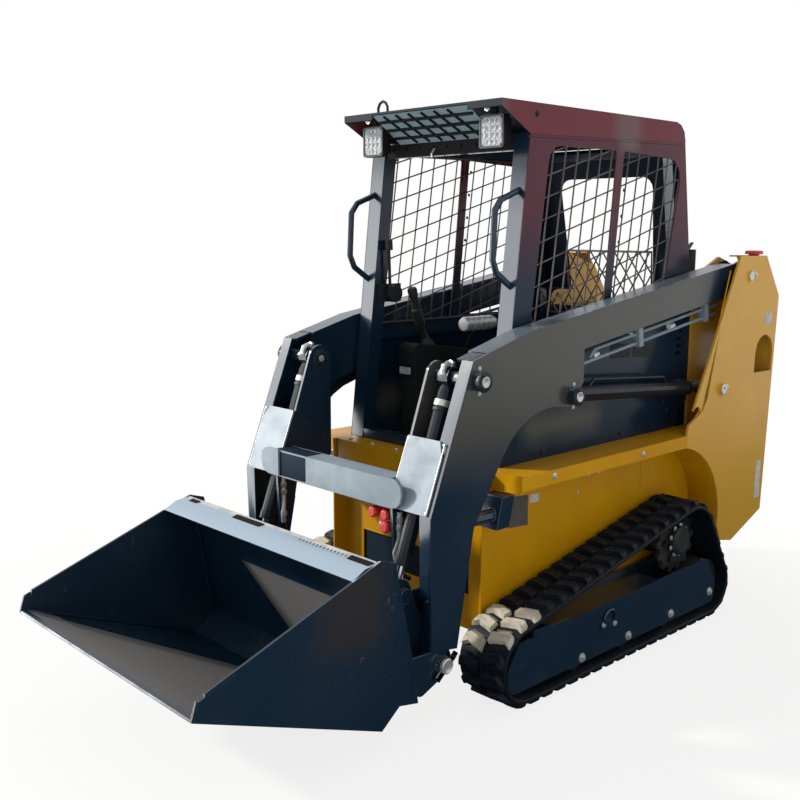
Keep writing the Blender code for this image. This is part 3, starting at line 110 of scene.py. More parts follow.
# ------------------------------------------------------------------ shader graph
class Graph:
    """Short way to add and join the nodes of one material or group."""

    def __init__(self, tree: bpy.types.NodeTree) -> None:
        """Start on an empty tree.

        Args:
            tree: the node tree of a material, a world or a group.
        """
        self.tree = tree
        self.tree.nodes.clear()

    def add(self, kind: str, **inputs: object) -> bpy.types.Node:
        """Add a node and set its inputs.

        Args:
            kind: the node's type without its "ShaderNode" prefix.
            **inputs: values, or output sockets to link, by input name with
                underscores for spaces, or by "i" and the input's number;
                ``operation`` sets the node's own operation.

        Returns:
            The new node.
        """
        node = self.tree.nodes.new("ShaderNode" + kind)
        if "operation" in inputs:
            node.operation = inputs.pop("operation")
        for name, value in inputs.items():
            self.feed(self.socket(node, name), value)
        return node

    @staticmethod
    def socket(node: bpy.types.Node, name: str) -> bpy.types.NodeSocket:
        """Find an enabled input by its name, or by its number after "i"."""
        if name[0] == "i" and name[1:].isdigit():
            return node.inputs[int(name[1:])]
        wanted = name.replace("_", " ")
        return next(s for s in node.inputs if s.name == wanted and s.enabled)

    def feed(self, target: bpy.types.NodeSocket, value: object) -> None:
        """Link an output socket to an input, or set the input's value."""
        if isinstance(value, bpy.types.NodeSocket):
            self.tree.links.new(value, target)
        elif isinstance(value, tuple) and len(value) == 3 and target.type == "RGBA":
            target.default_value = (*value, 1.0)
        else:
            target.default_value = value

    def math(self, operation: str, first: object, second: object) -> bpy.types.NodeSocket:
        """Work out one value from two."""
        return self.add("Math", operation=operation, i0=first, i1=second).outputs[0]

    def place(self) -> bpy.types.NodeSocket:
        """The point on the surface, in the model's frame."""
        return self.add("TexCoord").outputs["Object"]

    def ramp(self, value: object, low: float, high: float) -> bpy.types.NodeSocket:
        """Map a value smoothly from low..high to 0..1."""
        node = self.add("MapRange", Value=value, From_Min=low, From_Max=high)
        node.interpolation_type = "SMOOTHSTEP"
        return node.outputs["Result"]

    def mix(self, share: object, first: object, second: object) -> bpy.types.NodeSocket:
        """Mix two colours by a share."""
        node = self.tree.nodes.new("ShaderNodeMix")
        node.data_type = "RGBA"
        self.feed(node.inputs[0], share)
        self.feed(node.inputs[6], first)
        self.feed(node.inputs[7], second)
        return node.outputs[2]


def make_group(name: str, inputs: dict[str, float], output: str) -> tuple[Graph, Mapping, object]:
    """Start a shader group with float sockets.

    Args:
        name: the group's name.
        inputs: names and usual values of its inputs.
        output: name of its output.

    Returns:
        The graph, its inputs by name, and the socket that the result goes to.
    """
    tree = bpy.data.node_groups.new(name, "ShaderNodeTree")
    graph = Graph(tree)
    for label, value in inputs.items():
        socket = tree.interface.new_socket(label, in_out="INPUT", socket_type="NodeSocketFloat")
        socket.default_value = value
    tree.interface.new_socket(output, in_out="OUTPUT", socket_type="NodeSocketFloat")
    asked = tree.nodes.new("NodeGroupInput").outputs
    return graph, asked, tree.nodes.new("NodeGroupOutput").inputs[output]


FAR = 9.0           # metres: beyond the model on every side


@dataclass(frozen=True)
class Zone:
    """Part of a surface with a colour of its own, in metres of the model's frame; most zones paint
    light, shade and reflections, and the bucket floor's zone adds real wear as well.
    """

    colour: Colour
    roughness: float = 0.5
    metal: float = 0.0
    share: float = 1.0              # the most of its colour that shows
    y: Flat = (-FAR, FAR)
    z: Flat = (-FAR, FAR)
    soft: float = 0.01              # width of its border
    ragged: float = 0.0             # how far noise moves its border
    way: Point = UP                 # where its faces look
    facing: float = -2.0            # least cosine to that way; -2 takes in every face
    slant: float = 0.0              # how far Y shifts for each metre of X

    def inputs(self) -> dict[str, float]:
        """Its limits, by the names of the zone group's inputs."""
        limits = {"Y Low": self.y[0], "Y High": self.y[1], "Z Low": self.z[0], "Z High": self.z[1],
                  "Soft": self.soft, "Ragged": self.ragged, "Facing": self.facing,
                  "Slant": self.slant}
        return limits | {f"Way {axis}": part for axis, part in zip("XYZ", self.way)}


class Effects:
    """Shader groups that several finishes share."""

    def __init__(self) -> None:
        """Build each group once."""
        self.patches = self._patches()
        self.scratches = self._scratches()
        self.dust = self._dust()
        self.grain = self._grain()
        self.zone = self._zone()

    @staticmethod
    def _patches() -> bpy.types.NodeTree:
        """Cloudy patches: slow changes of shade over a painted panel."""
        graph, asked, result = make_group("cloudy_patches", {"Scale": 3.0}, "Mask")
        noise = graph.add("TexNoise", Vector=graph.place(), Scale=asked["Scale"],
                          Detail=5.0, Roughness=0.6)
        mask = graph.add("MapRange", Value=noise.outputs[0], From_Min=0.35, From_Max=0.65)
        graph.feed(result, mask.outputs["Result"])
        return graph.tree

    @staticmethod
    def _scratches() -> bpy.types.NodeTree:
        """Long thin scratches along Y, broken up by patches."""
        graph, asked, result = make_group("thin_scratches", {"Amount": 0.5}, "Mask")
        place = graph.place()
        lanes = graph.add("VectorMath", operation="MULTIPLY", i0=place, i1=(1.0, 0.06, 1.0))
        bent = graph.add("TexNoise", Vector=place, Scale=3.0, Detail=2.0)
        pushed = graph.add("VectorMath", operation="ADD", i0=lanes.outputs[0],
                           i1=bent.outputs["Color"])
        fine = graph.add("TexNoise", Vector=pushed.outputs[0], Scale=40.0, Detail=4.0,
                         Roughness=0.7)
        line = graph.ramp(fine.outputs[0], 0.62, 0.72)
        broad = graph.add("TexNoise", Vector=place, Scale=5.0, Detail=3.0)
        marks = graph.math("MULTIPLY", line, graph.ramp(broad.outputs[0], 0.42, 0.62))
        graph.feed(result, graph.math("MULTIPLY", marks, asked["Amount"]))
        return graph.tree

    @staticmethod
    def _dust() -> bpy.types.NodeTree:
        """Dust that lies on faces that look up and thickens towards the ground."""
        graph, asked, result = make_group("settled_dust", {"Amount": 0.5, "Top": 0.5}, "Mask")
        looks = graph.add("NewGeometry").outputs["Normal"]
        facing = graph.ramp(graph.add("SeparateXYZ", Vector=looks).outputs["Z"], 0.2, 1.0)
        place = graph.place()
        height = graph.add("SeparateXYZ", Vector=place).outputs["Z"]
        low = graph.add("MapRange", Value=height, From_Min=0.0, From_Max=asked["Top"],
                        To_Min=1.0, To_Max=0.0)
        noise = graph.add("TexNoise", Vector=place, Scale=9.0, Detail=8.0, Roughness=0.65)
        cloud = graph.ramp(noise.outputs[0], 0.35, 0.7)
        where = graph.math("ADD", graph.math("MULTIPLY", facing, 0.55), low.outputs["Result"])
        mask = graph.math("MULTIPLY", graph.math("MULTIPLY", where, cloud),
                          asked["Amount"])
        clamped = graph.add("Clamp", Value=mask)
        graph.feed(result, clamped.outputs[0])
        return graph.tree

    @staticmethod
    def _grain() -> bpy.types.NodeTree:
        """Fine relief: orange peel on paint, pebble on vinyl, pitting on castings."""
        graph, asked, result = make_group("fine_grain", {"Scale": 300.0}, "Height")
        noise = graph.add("TexNoise", Vector=graph.place(), Scale=asked["Scale"],
                          Detail=3.0, Roughness=0.5)
        graph.feed(result, noise.outputs[0])
        return graph.tree

    @staticmethod
    def _zone() -> bpy.types.NodeTree:
        """Mask of what lies in a range of Y and Z and faces one way, with a ragged border."""
        graph, asked, result = make_group("painted_light_and_wear_zone", Zone(BLACK).inputs(), "Mask")
        coordinates = graph.add("TexCoord")
        place = coordinates.outputs["Object"]
        noise = graph.add("TexNoise", Vector=place, Scale=7.0, Detail=6.0, Roughness=0.7)
        jitter = graph.math("MULTIPLY", graph.math("SUBTRACT", noise.outputs[0], 0.5),
                            asked["Ragged"])
        axes = graph.add("SeparateXYZ", Vector=place).outputs
        lean = graph.math("MULTIPLY", axes["X"], asked["Slant"])
        places = {"Y": graph.math("ADD", axes["Y"], lean), "Z": axes["Z"]}
        mask = None
        for axis, where in places.items():
            shaken = graph.math("ADD", where, jitter)
            for limit, way in (("Low", 1.0), ("High", -1.0)):
                depth = graph.math("SUBTRACT", shaken, asked[f"{axis} {limit}"])
                depth = graph.math("MULTIPLY", depth, way)
                share = graph.add("MapRange", Value=depth, From_Min=0.0, From_Max=asked["Soft"])
                mask = graph.math("MULTIPLY", mask, share.outputs[0]) if mask else share.outputs[0]
        normal = graph.add("SeparateXYZ", Vector=coordinates.outputs["Normal"]).outputs
        facing = graph.math("MULTIPLY", normal["X"], asked["Way X"])
        for axis in "YZ":
            part = graph.math("MULTIPLY", normal[axis], asked[f"Way {axis}"])
            facing = graph.math("ADD", facing, part)
        turned = graph.math("GREATER_THAN", facing, asked["Facing"])
        graph.feed(result, graph.math("MULTIPLY", mask, turned))
        return graph.tree


# ------------------------------------------------------------------ finishes
@dataclass(frozen=True)
class Finish:
    """A surface: its colours, gloss, relief, dust and scratches, and zones that mostly paint light,
    shade and reflections.
    """

    DUSTY_ROUGHNESS: ClassVar[float] = 0.9
    GRAIN_RELIEF: ClassVar[float] = 0.002       # metres

    name: str
    colour: Colour
    shade: Colour                   # the colour in cloudy patches
    roughness: float = 0.4
    worn_roughness: float = 0.55
    metallic: float = 0.0
    specular: float = 0.5
    grain_scale: float = 350.0
    grain_depth: float = 0.04
    patch_scale: float = 3.0
    dust: float = 0.0
    dust_top: float = 0.5           # the height up to which dust thickens
    dust_colour: Colour = (0.30, 0.26, 0.21)
    scratch: float = 0.0
    scratch_colour: Colour = (0.35, 0.36, 0.37)
    fade: Optional[tuple[Colour, float, float]] = None   # colour below, from z, to z
    zones: tuple[Zone, ...] = ()

    def make(self, effects: Effects) -> bpy.types.Material:
        """Build the material.

        Args:
            effects: the shared shader groups.

        Returns:
            The new material.
        """
        material = bpy.data.materials.new("finish_" + self.name)
        material.use_nodes = True
        graph = Graph(material.node_tree)
        shader = graph.add("BsdfPrincipled", Specular_IOR_Level=self.specular)
        patches = self.group(graph, effects.patches, Scale=self.patch_scale).outputs["Mask"]
        colour = graph.mix(patches, self.shade, self.colour)
        rough = graph.add("MapRange", Value=patches, To_Min=self.worn_roughness,
                          To_Max=self.roughness).outputs["Result"]
        metal = self.metallic
        if self.fade:
            below, start, stop = self.fade
            height = graph.add("SeparateXYZ", Vector=graph.place()).outputs["Z"]
            colour = graph.mix(graph.ramp(height, start, stop), below, colour)
        for zone in self.zones:
            mask = self.group(graph, effects.zone, **zone.inputs()).outputs["Mask"]
            mask = graph.math("MULTIPLY", mask, zone.share)
            colour = graph.mix(mask, colour, zone.colour)
            rough = graph.add("Mix", i0=mask, i2=rough, i3=zone.roughness).outputs[0]
            if zone.metal:
                metal = graph.math("MAXIMUM", graph.math("MULTIPLY", mask, zone.metal), metal)
        if self.scratch:
            lines = self.group(graph, effects.scratches, Amount=self.scratch).outputs["Mask"]
            colour = graph.mix(lines, colour, self.scratch_colour)
        if self.dust:
            film = self.group(graph, effects.dust, Amount=self.dust,
                              Top=self.dust_top).outputs["Mask"]
            colour = graph.mix(film, colour, self.dust_colour)
            rough = graph.math("MAXIMUM", rough, graph.math("MULTIPLY", film, self.DUSTY_ROUGHNESS))
        for label, value in (("Base Color", colour), ("Roughness", rough), ("Metallic", metal)):
            graph.feed(shader.inputs[label], value)
        if self.grain_depth:
            grain = self.group(graph, effects.grain, Scale=self.grain_scale).outputs["Height"]
            bump = graph.add("Bump", Strength=self.grain_depth, Distance=self.GRAIN_RELIEF,
                             Height=grain)
            graph.feed(shader.inputs["Normal"], bump.outputs[0])
        graph.add("OutputMaterial", Surface=shader.outputs[0])
        return material

    @staticmethod
    def group(graph: Graph, tree: bpy.types.NodeTree, **values: float) -> bpy.types.Node:
        """Place a shared group in a material with this finish's own values."""
        node = graph.tree.nodes.new("ShaderNodeGroup")
        node.node_tree = tree
        for name, value in values.items():
            node.inputs[name].default_value = value
        return node


NAVY: Colour = (0.0070, 0.0225, 0.0460)
NAVY_SHADE: Colour = (0.0090, 0.0250, 0.0480)

YELLOW = Finish("yellow_enamel", (0.640, 0.318, 0.004), (0.560, 0.270, 0.003), roughness=0.24,
                worn_roughness=0.34, specular=0.12, dust=0.10, dust_top=0.30, grain_depth=0.02)
# The tower's yellow is the hull's yellow paint made paler and greyer: a painted haze of reflected
# light. Below 0.70 m the foot zone makes it darker and deeper again.
TOWER_FOOT = Zone((0.600, 0.340, 0.028), 0.26, z=(-FAR, 0.70), soft=0.25, ragged=0.10)
TOWER_YELLOW = Finish("tower_enamel_painted_haze", (0.680, 0.375, 0.040), (0.620, 0.335, 0.034), roughness=0.24,
                      worn_roughness=0.34, specular=0.35, dust=0.20, dust_top=0.30, patch_scale=1.8,
                      grain_depth=0.02, zones=(TOWER_FOOT,))
SLATE = Finish("slate_enamel", NAVY, NAVY_SHADE, roughness=0.16, worn_roughness=0.26, dust=0.06,
               dust_top=0.12, grain_depth=0.02)

# The cab's sides are navy paint, the fade's lower colour; the maroon above 1.32 m is a painted
# reflection of a red object in the glossy paint. The grey foot zone is a painted reflection on the
# lower side panel, and the grey crown zone a painted reflection patch high on the side.
CAB_FOOT_REFLECTION = Zone((0.105, 0.103, 0.088), 0.35, share=0.8, y=(-0.10, 0.43), z=(0.80, 0.99), soft=0.09,
                ragged=0.05)
CAB_CROWN_REFLECTION = Zone((0.150, 0.120, 0.120), 0.40, share=0.75, y=(0.43, 0.60), z=(1.84, FAR), soft=0.05,
                 ragged=0.04)
CAB_PAINT_AND_REFLECTION = Finish("navy_enamel_painted_maroon_reflection", (0.098, 0.020, 0.040), (0.088, 0.019, 0.036), roughness=0.18,
                   worn_roughness=0.26, specular=0.2, fade=(NAVY, 1.32, 1.72), grain_depth=0.02,
                   zones=(CAB_FOOT_REFLECTION, CAB_CROWN_REFLECTION))
# The roof's maroon is a painted reflection of a red object in its glossy navy paint. The grey cloud
# and cheek zones on its left side are painted reflections, and the darker underside zone is painted
# shade on faces that look forward and down.
ROOF_SIDE_REFLECTION = Zone((0.160, 0.135, 0.135), 0.40, share=0.6, y=(0.40, 0.62), soft=0.07, ragged=0.12,
                  way=LEFT, facing=0.7)
ROOF_CHEEK_REFLECTION = Zone((0.105, 0.098, 0.108), 0.35, share=0.8, y=(-FAR, -0.150), soft=0.05, ragged=0.02,
                  way=LEFT, facing=0.7)
ROOF_UNDERSIDE_SHADE = Zone((0.006, 0.012, 0.020), 0.60, way=(0.0, -0.7, -0.7), facing=0.30)
ROOF_PAINTED_REFLECTION = Finish("roof_enamel_painted_reflection", (0.170, 0.034, 0.048), (0.140, 0.030, 0.045), roughness=0.24,
                    worn_roughness=0.34, specular=0.15, patch_scale=1.5, grain_depth=0.02,
                    zones=(ROOF_SIDE_REFLECTION, ROOF_CHEEK_REFLECTION, ROOF_UNDERSIDE_SHADE))

# On the arms' navy paint the grey on the outward faces is a painted reflection, and the pale blue
# on faces that look up is a painted sky reflection.
ARM_SIDE_REFLECTION = Zone((0.052, 0.053, 0.048), 0.24, y=(-FAR, 1.02), z=(0.76, FAR), soft=0.17, ragged=0.02,
                 way=LEFT, facing=0.7)
ARM_TOP_REFLECTION = Zone((0.120, 0.150, 0.190), 0.30, share=0.85, z=(0.90, FAR), soft=0.02, facing=0.8)
ARM_LEFT = Finish("arm_enamel_left", NAVY, NAVY_SHADE, roughness=0.20, worn_roughness=0.30,
                  grain_depth=0.02, zones=(ARM_SIDE_REFLECTION, ARM_TOP_REFLECTION))
ARM_RIGHT = replace(ARM_LEFT, name="arm_enamel_right", specular=0.35,
                    zones=(replace(ARM_SIDE_REFLECTION, way=RIGHT), ARM_TOP_REFLECTION))
BARREL = Finish("cylinder_enamel", (0.0060, 0.0110, 0.0180), (0.0080, 0.0130, 0.0200),
                roughness=0.30, worn_roughness=0.40, specular=0.30, grain_depth=0.02)

# The lip is bare steel, and its pale blue-grey is partly a painted sky reflection.
BUCKET_LIP = Zone((0.330, 0.420, 0.520), 0.35, 0.2, y=(-0.9525, -0.8420), z=(0.5835, FAR),
                  soft=0.001, facing=0.5)
# The floor's grey is partly real wear; its slanted border follows the side plate's shadow, so the
# lit part is painted pale and the shaded part stays dark navy: painted light and shade.
BUCKET_FLOOR = Zone((0.140, 0.130, 0.126), 0.60, 0.15, 0.9, y=(-FAR, -0.875), z=(0.09, 0.365),
                    ragged=0.02, way=(0.0, 0.365, 0.931), facing=0.9, slant=-1.107)
BUCKET_SIDE = Zone((0.030, 0.028, 0.032), 0.30, y=(-1.637, -1.297), z=(0.33, FAR), soft=0.10,
                   ragged=0.14, way=LEFT, facing=0.7, slant=-1.0)
# Lighter triangle on the back plate: a painted sunlit patch between the shadows of the lip and the
# left side plate.
BUCKET_BACK_SUNLIT_PATCH = Zone((0.125, 0.122, 0.120), 0.45, y=(-FAR, -0.753), z=(0.15, 0.427), soft=0.0015,
                   way=FORWARD, facing=0.8, slant=-0.1328)
BUCKET_PAINT = Finish("bucket_enamel", NAVY, NAVY_SHADE, roughness=0.16, worn_roughness=0.28,
                      grain_depth=0.02, scratch=0.35, scratch_colour=(0.20, 0.21, 0.22),
                      zones=(BUCKET_LIP, BUCKET_FLOOR, BUCKET_SIDE, BUCKET_BACK_SUNLIT_PATCH))

# Bare zinc on the covers and pipes; on the cross tube this pale finish is a painted sky reflection
# on its paint, and on the flange dashes a painted highlight.
ZINC_AND_GLARE = Finish("zinc_plate_and_painted_glare", (0.265, 0.335, 0.395), (0.210, 0.265, 0.315), roughness=0.42,
               worn_roughness=0.58, specular=0.4, patch_scale=9.0, scratch=0.35,
               scratch_colour=(0.24, 0.29, 0.34))
CHROME = Finish("chrome", (0.62, 0.63, 0.64), (0.58, 0.59, 0.60), roughness=0.10,
                worn_roughness=0.14, metallic=1.0, grain_depth=0.0)
BRIGHT = Finish("bright_zinc", (0.66, 0.67, 0.66), (0.52, 0.53, 0.53), roughness=0.28,
                worn_roughness=0.42, metallic=0.6, grain_depth=0.02, patch_scale=25.0)
WORN_STEEL = Finish("worn_steel", (0.160, 0.165, 0.170), (0.100, 0.105, 0.110), roughness=0.42,
                    metallic=0.5, patch_scale=12.0, scratch=0.6)
# Paler finish on the rounded edges: real wear of the paint together with a painted edge highlight.
EDGE_WEAR_AND_HIGHLIGHT = Finish("rubbed_edge_and_painted_highlight", (0.150, 0.175, 0.215), (0.110, 0.130, 0.165), worn_roughness=0.5,
                   grain_depth=0.0, patch_scale=14.0)
WIRE = Finish("wire_enamel", (0.115, 0.095, 0.092), (0.060, 0.052, 0.052), roughness=0.35,
              worn_roughness=0.45, specular=0.4, patch_scale=6.0)
CASTING = Finish("dark_casting", (0.010, 0.013, 0.018), (0.020, 0.021, 0.024), roughness=0.45,
                 worn_roughness=0.65, metallic=0.3, grain_scale=220.0, grain_depth=0.3, dust=0.2)
# Darker, matt copy of the navy paint: painted shade where the navy looks black.
PAINTED_SHADE_NAVY = Finish("satin_navy_painted_shade", (0.0050, 0.0150, 0.0320), (0.0070, 0.0180, 0.0350), roughness=0.6,
                    worn_roughness=0.7, specular=0.08, grain_depth=0.02)
MATT_BLACK = Finish("matt_black", (0.010, 0.010, 0.012), (0.016, 0.015, 0.017), roughness=0.7,
                    worn_roughness=0.8, specular=0.05, patch_scale=20.0)
# Pale blue-grey sheet under the front guard's bars: painted sky light on the visor plate.
SKY_LIT_SLATE = Finish("slate_painted_sky_light", (0.300, 0.400, 0.460), (0.240, 0.340, 0.400), roughness=0.12,
                     worn_roughness=0.20, grain_depth=0.0, patch_scale=4.0)

RUBBER = Finish("track_rubber", (0.0025, 0.0070, 0.0140), (0.0045, 0.0085, 0.0150), roughness=0.5,
                worn_roughness=0.65, specular=0.20, grain_scale=160.0, grain_depth=0.25, dust=0.14,
                dust_top=0.07, dust_colour=(0.070, 0.066, 0.055), patch_scale=8.0)
DRIED_MUD = Finish("dried_mud", (0.620, 0.570, 0.470), (0.430, 0.390, 0.310), roughness=0.85,
                   worn_roughness=0.9, specular=0.2, grain_scale=180.0, grain_depth=0.4,
                   patch_scale=30.0)
VINYL = Finish("black_vinyl", (0.006, 0.008, 0.010), (0.012, 0.013, 0.014), roughness=0.45,
               worn_roughness=0.6, specular=0.35, grain_scale=500.0, grain_depth=0.2)
RED = Finish("red_plastic", (0.78, 0.060, 0.050), (0.65, 0.045, 0.040), roughness=0.35,
             grain_depth=0.02)
LAMP = Finish("lamp_shell", (0.60, 0.62, 0.64), (0.5, 0.52, 0.54), roughness=0.25, metallic=0.4)
LENS = Finish("lamp_lens", (0.44, 0.46, 0.48), (0.34, 0.37, 0.40), roughness=0.5,
              worn_roughness=0.4, specular=0.15, grain_depth=0.0, patch_scale=14.0)
REFLECTOR = Finish("lamp_reflector", (0.16, 0.17, 0.18), (0.50, 0.51, 0.52), roughness=0.30,
                   worn_roughness=0.35, specular=0.4, grain_depth=0.0, patch_scale=90.0)
DATA_PLATE = Finish("blank_plate", (0.075, 0.072, 0.062), (0.100, 0.096, 0.085), specular=0.3,
                    patch_scale=30.0, grain_depth=0.0)
PALE_STRIP = Finish("pale_strip", (0.60, 0.585, 0.560), (0.420, 0.410, 0.390), roughness=0.5,
                    worn_roughness=0.65, specular=0.3, patch_scale=26.0, dust=0.3)


class Palette:
    """Every finish made once, found by its name."""

    def __init__(self) -> None:
        """Make the shared effects."""
        self.effects = Effects()
        self.made: dict[str, bpy.types.Material] = {}

    def get(self, finish: Finish) -> bpy.types.Material:
        """Material of a finish, made at its first use."""
        if finish.name not in self.made:
            self.made[finish.name] = finish.make(self.effects)
        return self.made[finish.name]


# ------------------------------------------------------------------ studio
@dataclass
class Studio:
    """Camera, lights, floor and background."""

    eye: Point = (2.5957, -2.7455, 1.5732)
    azimuth: float = 0.811235       # of the direction back from the object, from -Y towards +X
    elevation: float = 0.165667
    roll: float = 0.003589
    lens: float = 45.5
    sun_towards: Point = (0.757, 0.469, -0.454)
    sun_strength: float = 3.6
    sky_strength: float = 0.57
    panel_towards: Flat = (-0.72, -0.69)        # from the model to the reflection panel
    panel_distance: float = 3.4
    panel_size: Flat = (2.4, 2.6)
    panel_radiance: float = 6.5
    panel_height: float = 1.15
    sensor_width: float = 36.0                  # millimetres, as the lens
    sun_angle: float = 5.0                      # degrees across the sun's disc
    sun_colour: Colour = (1.0, 0.97, 0.92)
    floor_radius: float = 40.0
    floor_drop: float = 0.0005                  # below the tracks
    floor_matt: Colour = (0.90, 0.90, 0.90)
    floor_mirrored: Colour = (0.030, 0.045, 0.060)      # what glossy rays see of the floor near the model: a painted dark reflection
    floor_shade: float = 0.82                   # of the floor near the model, to the eye

    def build(self) -> None:
        """Make everything."""
        self._camera()
        self._sky()
        self._sun()
        self._panel()
        self._floor()

    def _camera(self) -> None:
        """Camera at the height and the place of the known view."""
        back = Vector((math.sin(self.azimuth) * math.cos(self.elevation),
                       -math.cos(self.azimuth) * math.cos(self.elevation),
                       math.sin(self.elevation)))
        right = Vector((math.cos(self.azimuth), math.sin(self.azimuth), 0.0))
        up = back.cross(right)
        level = Matrix((right, up, back)).transposed()
        data = bpy.data.cameras.new("camera")
        data.lens = self.lens
        data.sensor_width = self.sensor_width
        camera = put("camera", data)
        turned = level @ Matrix.Rotation(self.roll, 3, "Z")
        camera.matrix_world = Matrix.Translation(self.eye) @ turned.to_4x4()
        bpy.context.scene.camera = camera

    def _sky(self) -> None:
        """White to the eye and in reflections, softer as a light."""
        world = bpy.data.worlds.new("studio_sky")
        bpy.context.scene.world = world
        world.use_nodes = True
        graph = Graph(world.node_tree)
        path = graph.add("LightPath")
        seen = graph.math("MAXIMUM", path.outputs["Is Camera Ray"], path.outputs["Is Glossy Ray"])
        seen = graph.math("MAXIMUM", seen, path.outputs["Is Transmission Ray"])
        strength = graph.add("MapRange", Value=seen, To_Min=self.sky_strength, To_Max=1.0)
        sky = graph.add("Background", Color=WHITE, Strength=strength.outputs["Result"])
        graph.add("OutputWorld", Surface=sky.outputs[0])

    def _sun(self) -> None:
        """One broad soft key light from the front right of the machine."""
        data = bpy.data.lights.new("key_light", "SUN")
        data.energy = self.sun_strength
        data.angle = math.radians(self.sun_angle)
        data.color = self.sun_colour
        lamp = put("key_light", data)
        lamp.rotation_mode = "QUATERNION"
        lamp.rotation_quaternion = Vector(self.sun_towards).to_track_quat("-Z", "Y")

    def _panel(self) -> None:
        """Pale panel that only glossy faces see, ahead and to the right of the machine."""
        data = bpy.data.lights.new("reflection_panel", "AREA")
        data.shape = "RECTANGLE"
        data.size, data.size_y = self.panel_size
        data.energy = self.panel_radiance * math.pi * data.size * data.size_y
        lamp = put("reflection_panel", data)
        x, y = self.panel_towards
        lamp.location = (x * self.panel_distance, y * self.panel_distance, self.panel_height)
        lamp.rotation_mode = "QUATERNION"
        lamp.rotation_quaternion = Vector((-x, -y, 0.0)).to_track_quat("-Z", "Y")
        lamp.visible_camera = lamp.visible_diffuse = False

    def _floor(self) -> None:
        """Pale floor that fades into the white background; to glossy rays it is painted dark near
        the model and white further out.
        """
        work = bmesh.new()
        bmesh.ops.create_circle(work, cap_ends=True, segments=64, radius=self.floor_radius)
        mesh = bpy.data.meshes.new("floor")
        work.to_mesh(mesh)
        work.free()
        floor = put("floor", mesh)
        floor.location.z = -self.floor_drop
        material = bpy.data.materials.new("pale_floor")
        material.use_nodes = True
        graph = Graph(material.node_tree)
        matt = graph.add("BsdfDiffuse", Color=self.floor_matt)
        white = graph.add("Emission", Color=WHITE, Strength=1.0)
        dark = graph.add("Emission", Color=self.floor_mirrored, Strength=1.0)
        reach = graph.add("VectorMath", operation="LENGTH", i0=graph.place()).outputs["Value"]
        path = graph.add("LightPath")
        pale = graph.math("MULTIPLY_ADD", graph.ramp(reach, 1.2, 3.0), 1.0 - self.floor_shade)
        pale.node.inputs[2].default_value = self.floor_shade
        to_eye = graph.math("MULTIPLY", pale, path.outputs["Is Camera Ray"])
        seen = graph.add("MixShader", i0=to_eye,
                         i1=matt.outputs[0], i2=white.outputs[0])
        mirrored = graph.add("MixShader", i0=graph.ramp(reach, 4.0, 7.0), i1=dark.outputs[0],
                             i2=white.outputs[0])
        mixed = graph.add("MixShader", i0=path.outputs["Is Glossy Ray"], i1=seen.outputs[0],
                          i2=mirrored.outputs[0])
        graph.add("OutputMaterial", Surface=mixed.outputs[0])
        floor.data.materials.append(material)


# ------------------------------------------------------------------ mesh making
def round_turn(count: int, shift: float = 0.0) -> list[float]:
    """Angles in radians that share out a full turn."""
    return [2.0 * math.pi * (k + shift) / count for k in range(count)]


def rounded(corners: Sequence[tuple[float, float, float]], steps: int = 6) -> list[Flat]:
    """Outline through rows of (u, v, corner radius)."""
    points: list[Flat] = []
    for k, (u, v, radius) in enumerate(corners):
        here = Vector((u, v))
        if radius <= 0.0:
            points.append((u, v))
            continue
        before = (Vector(corners[k - 1][:2]) - here).normalized()
        after = (Vector(corners[(k + 1) % len(corners)][:2]) - here).normalized()
        half = before.angle(after) / 2.0
        reach = radius / math.tan(half)
        start, stop = here + before * reach, here + after * reach
        for n in range(steps + 1):
            t = n / steps
            bend = start * (1.0 - t) ** 2 + here * (2.0 * t * (1.0 - t)) + stop * t ** 2
            points.append(tuple(bend))
    return points


def rectangle(u0: float, v0: float, u1: float, v1: float, radius: float = 0.0,
              steps: int = 3) -> list[Flat]:
    """Rectangular outline with rounded corners."""
    return rounded([(u, v, radius) for u, v in ((u0, v0), (u1, v0), (u1, v1), (u0, v1))], steps)


def with_radius(corners: Sequence[Flat], radius: float) -> list[tuple[float, float, float]]:
    """Corners that share one radius, as rounded() takes them."""
    return [(u, v, radius) for u, v in corners]


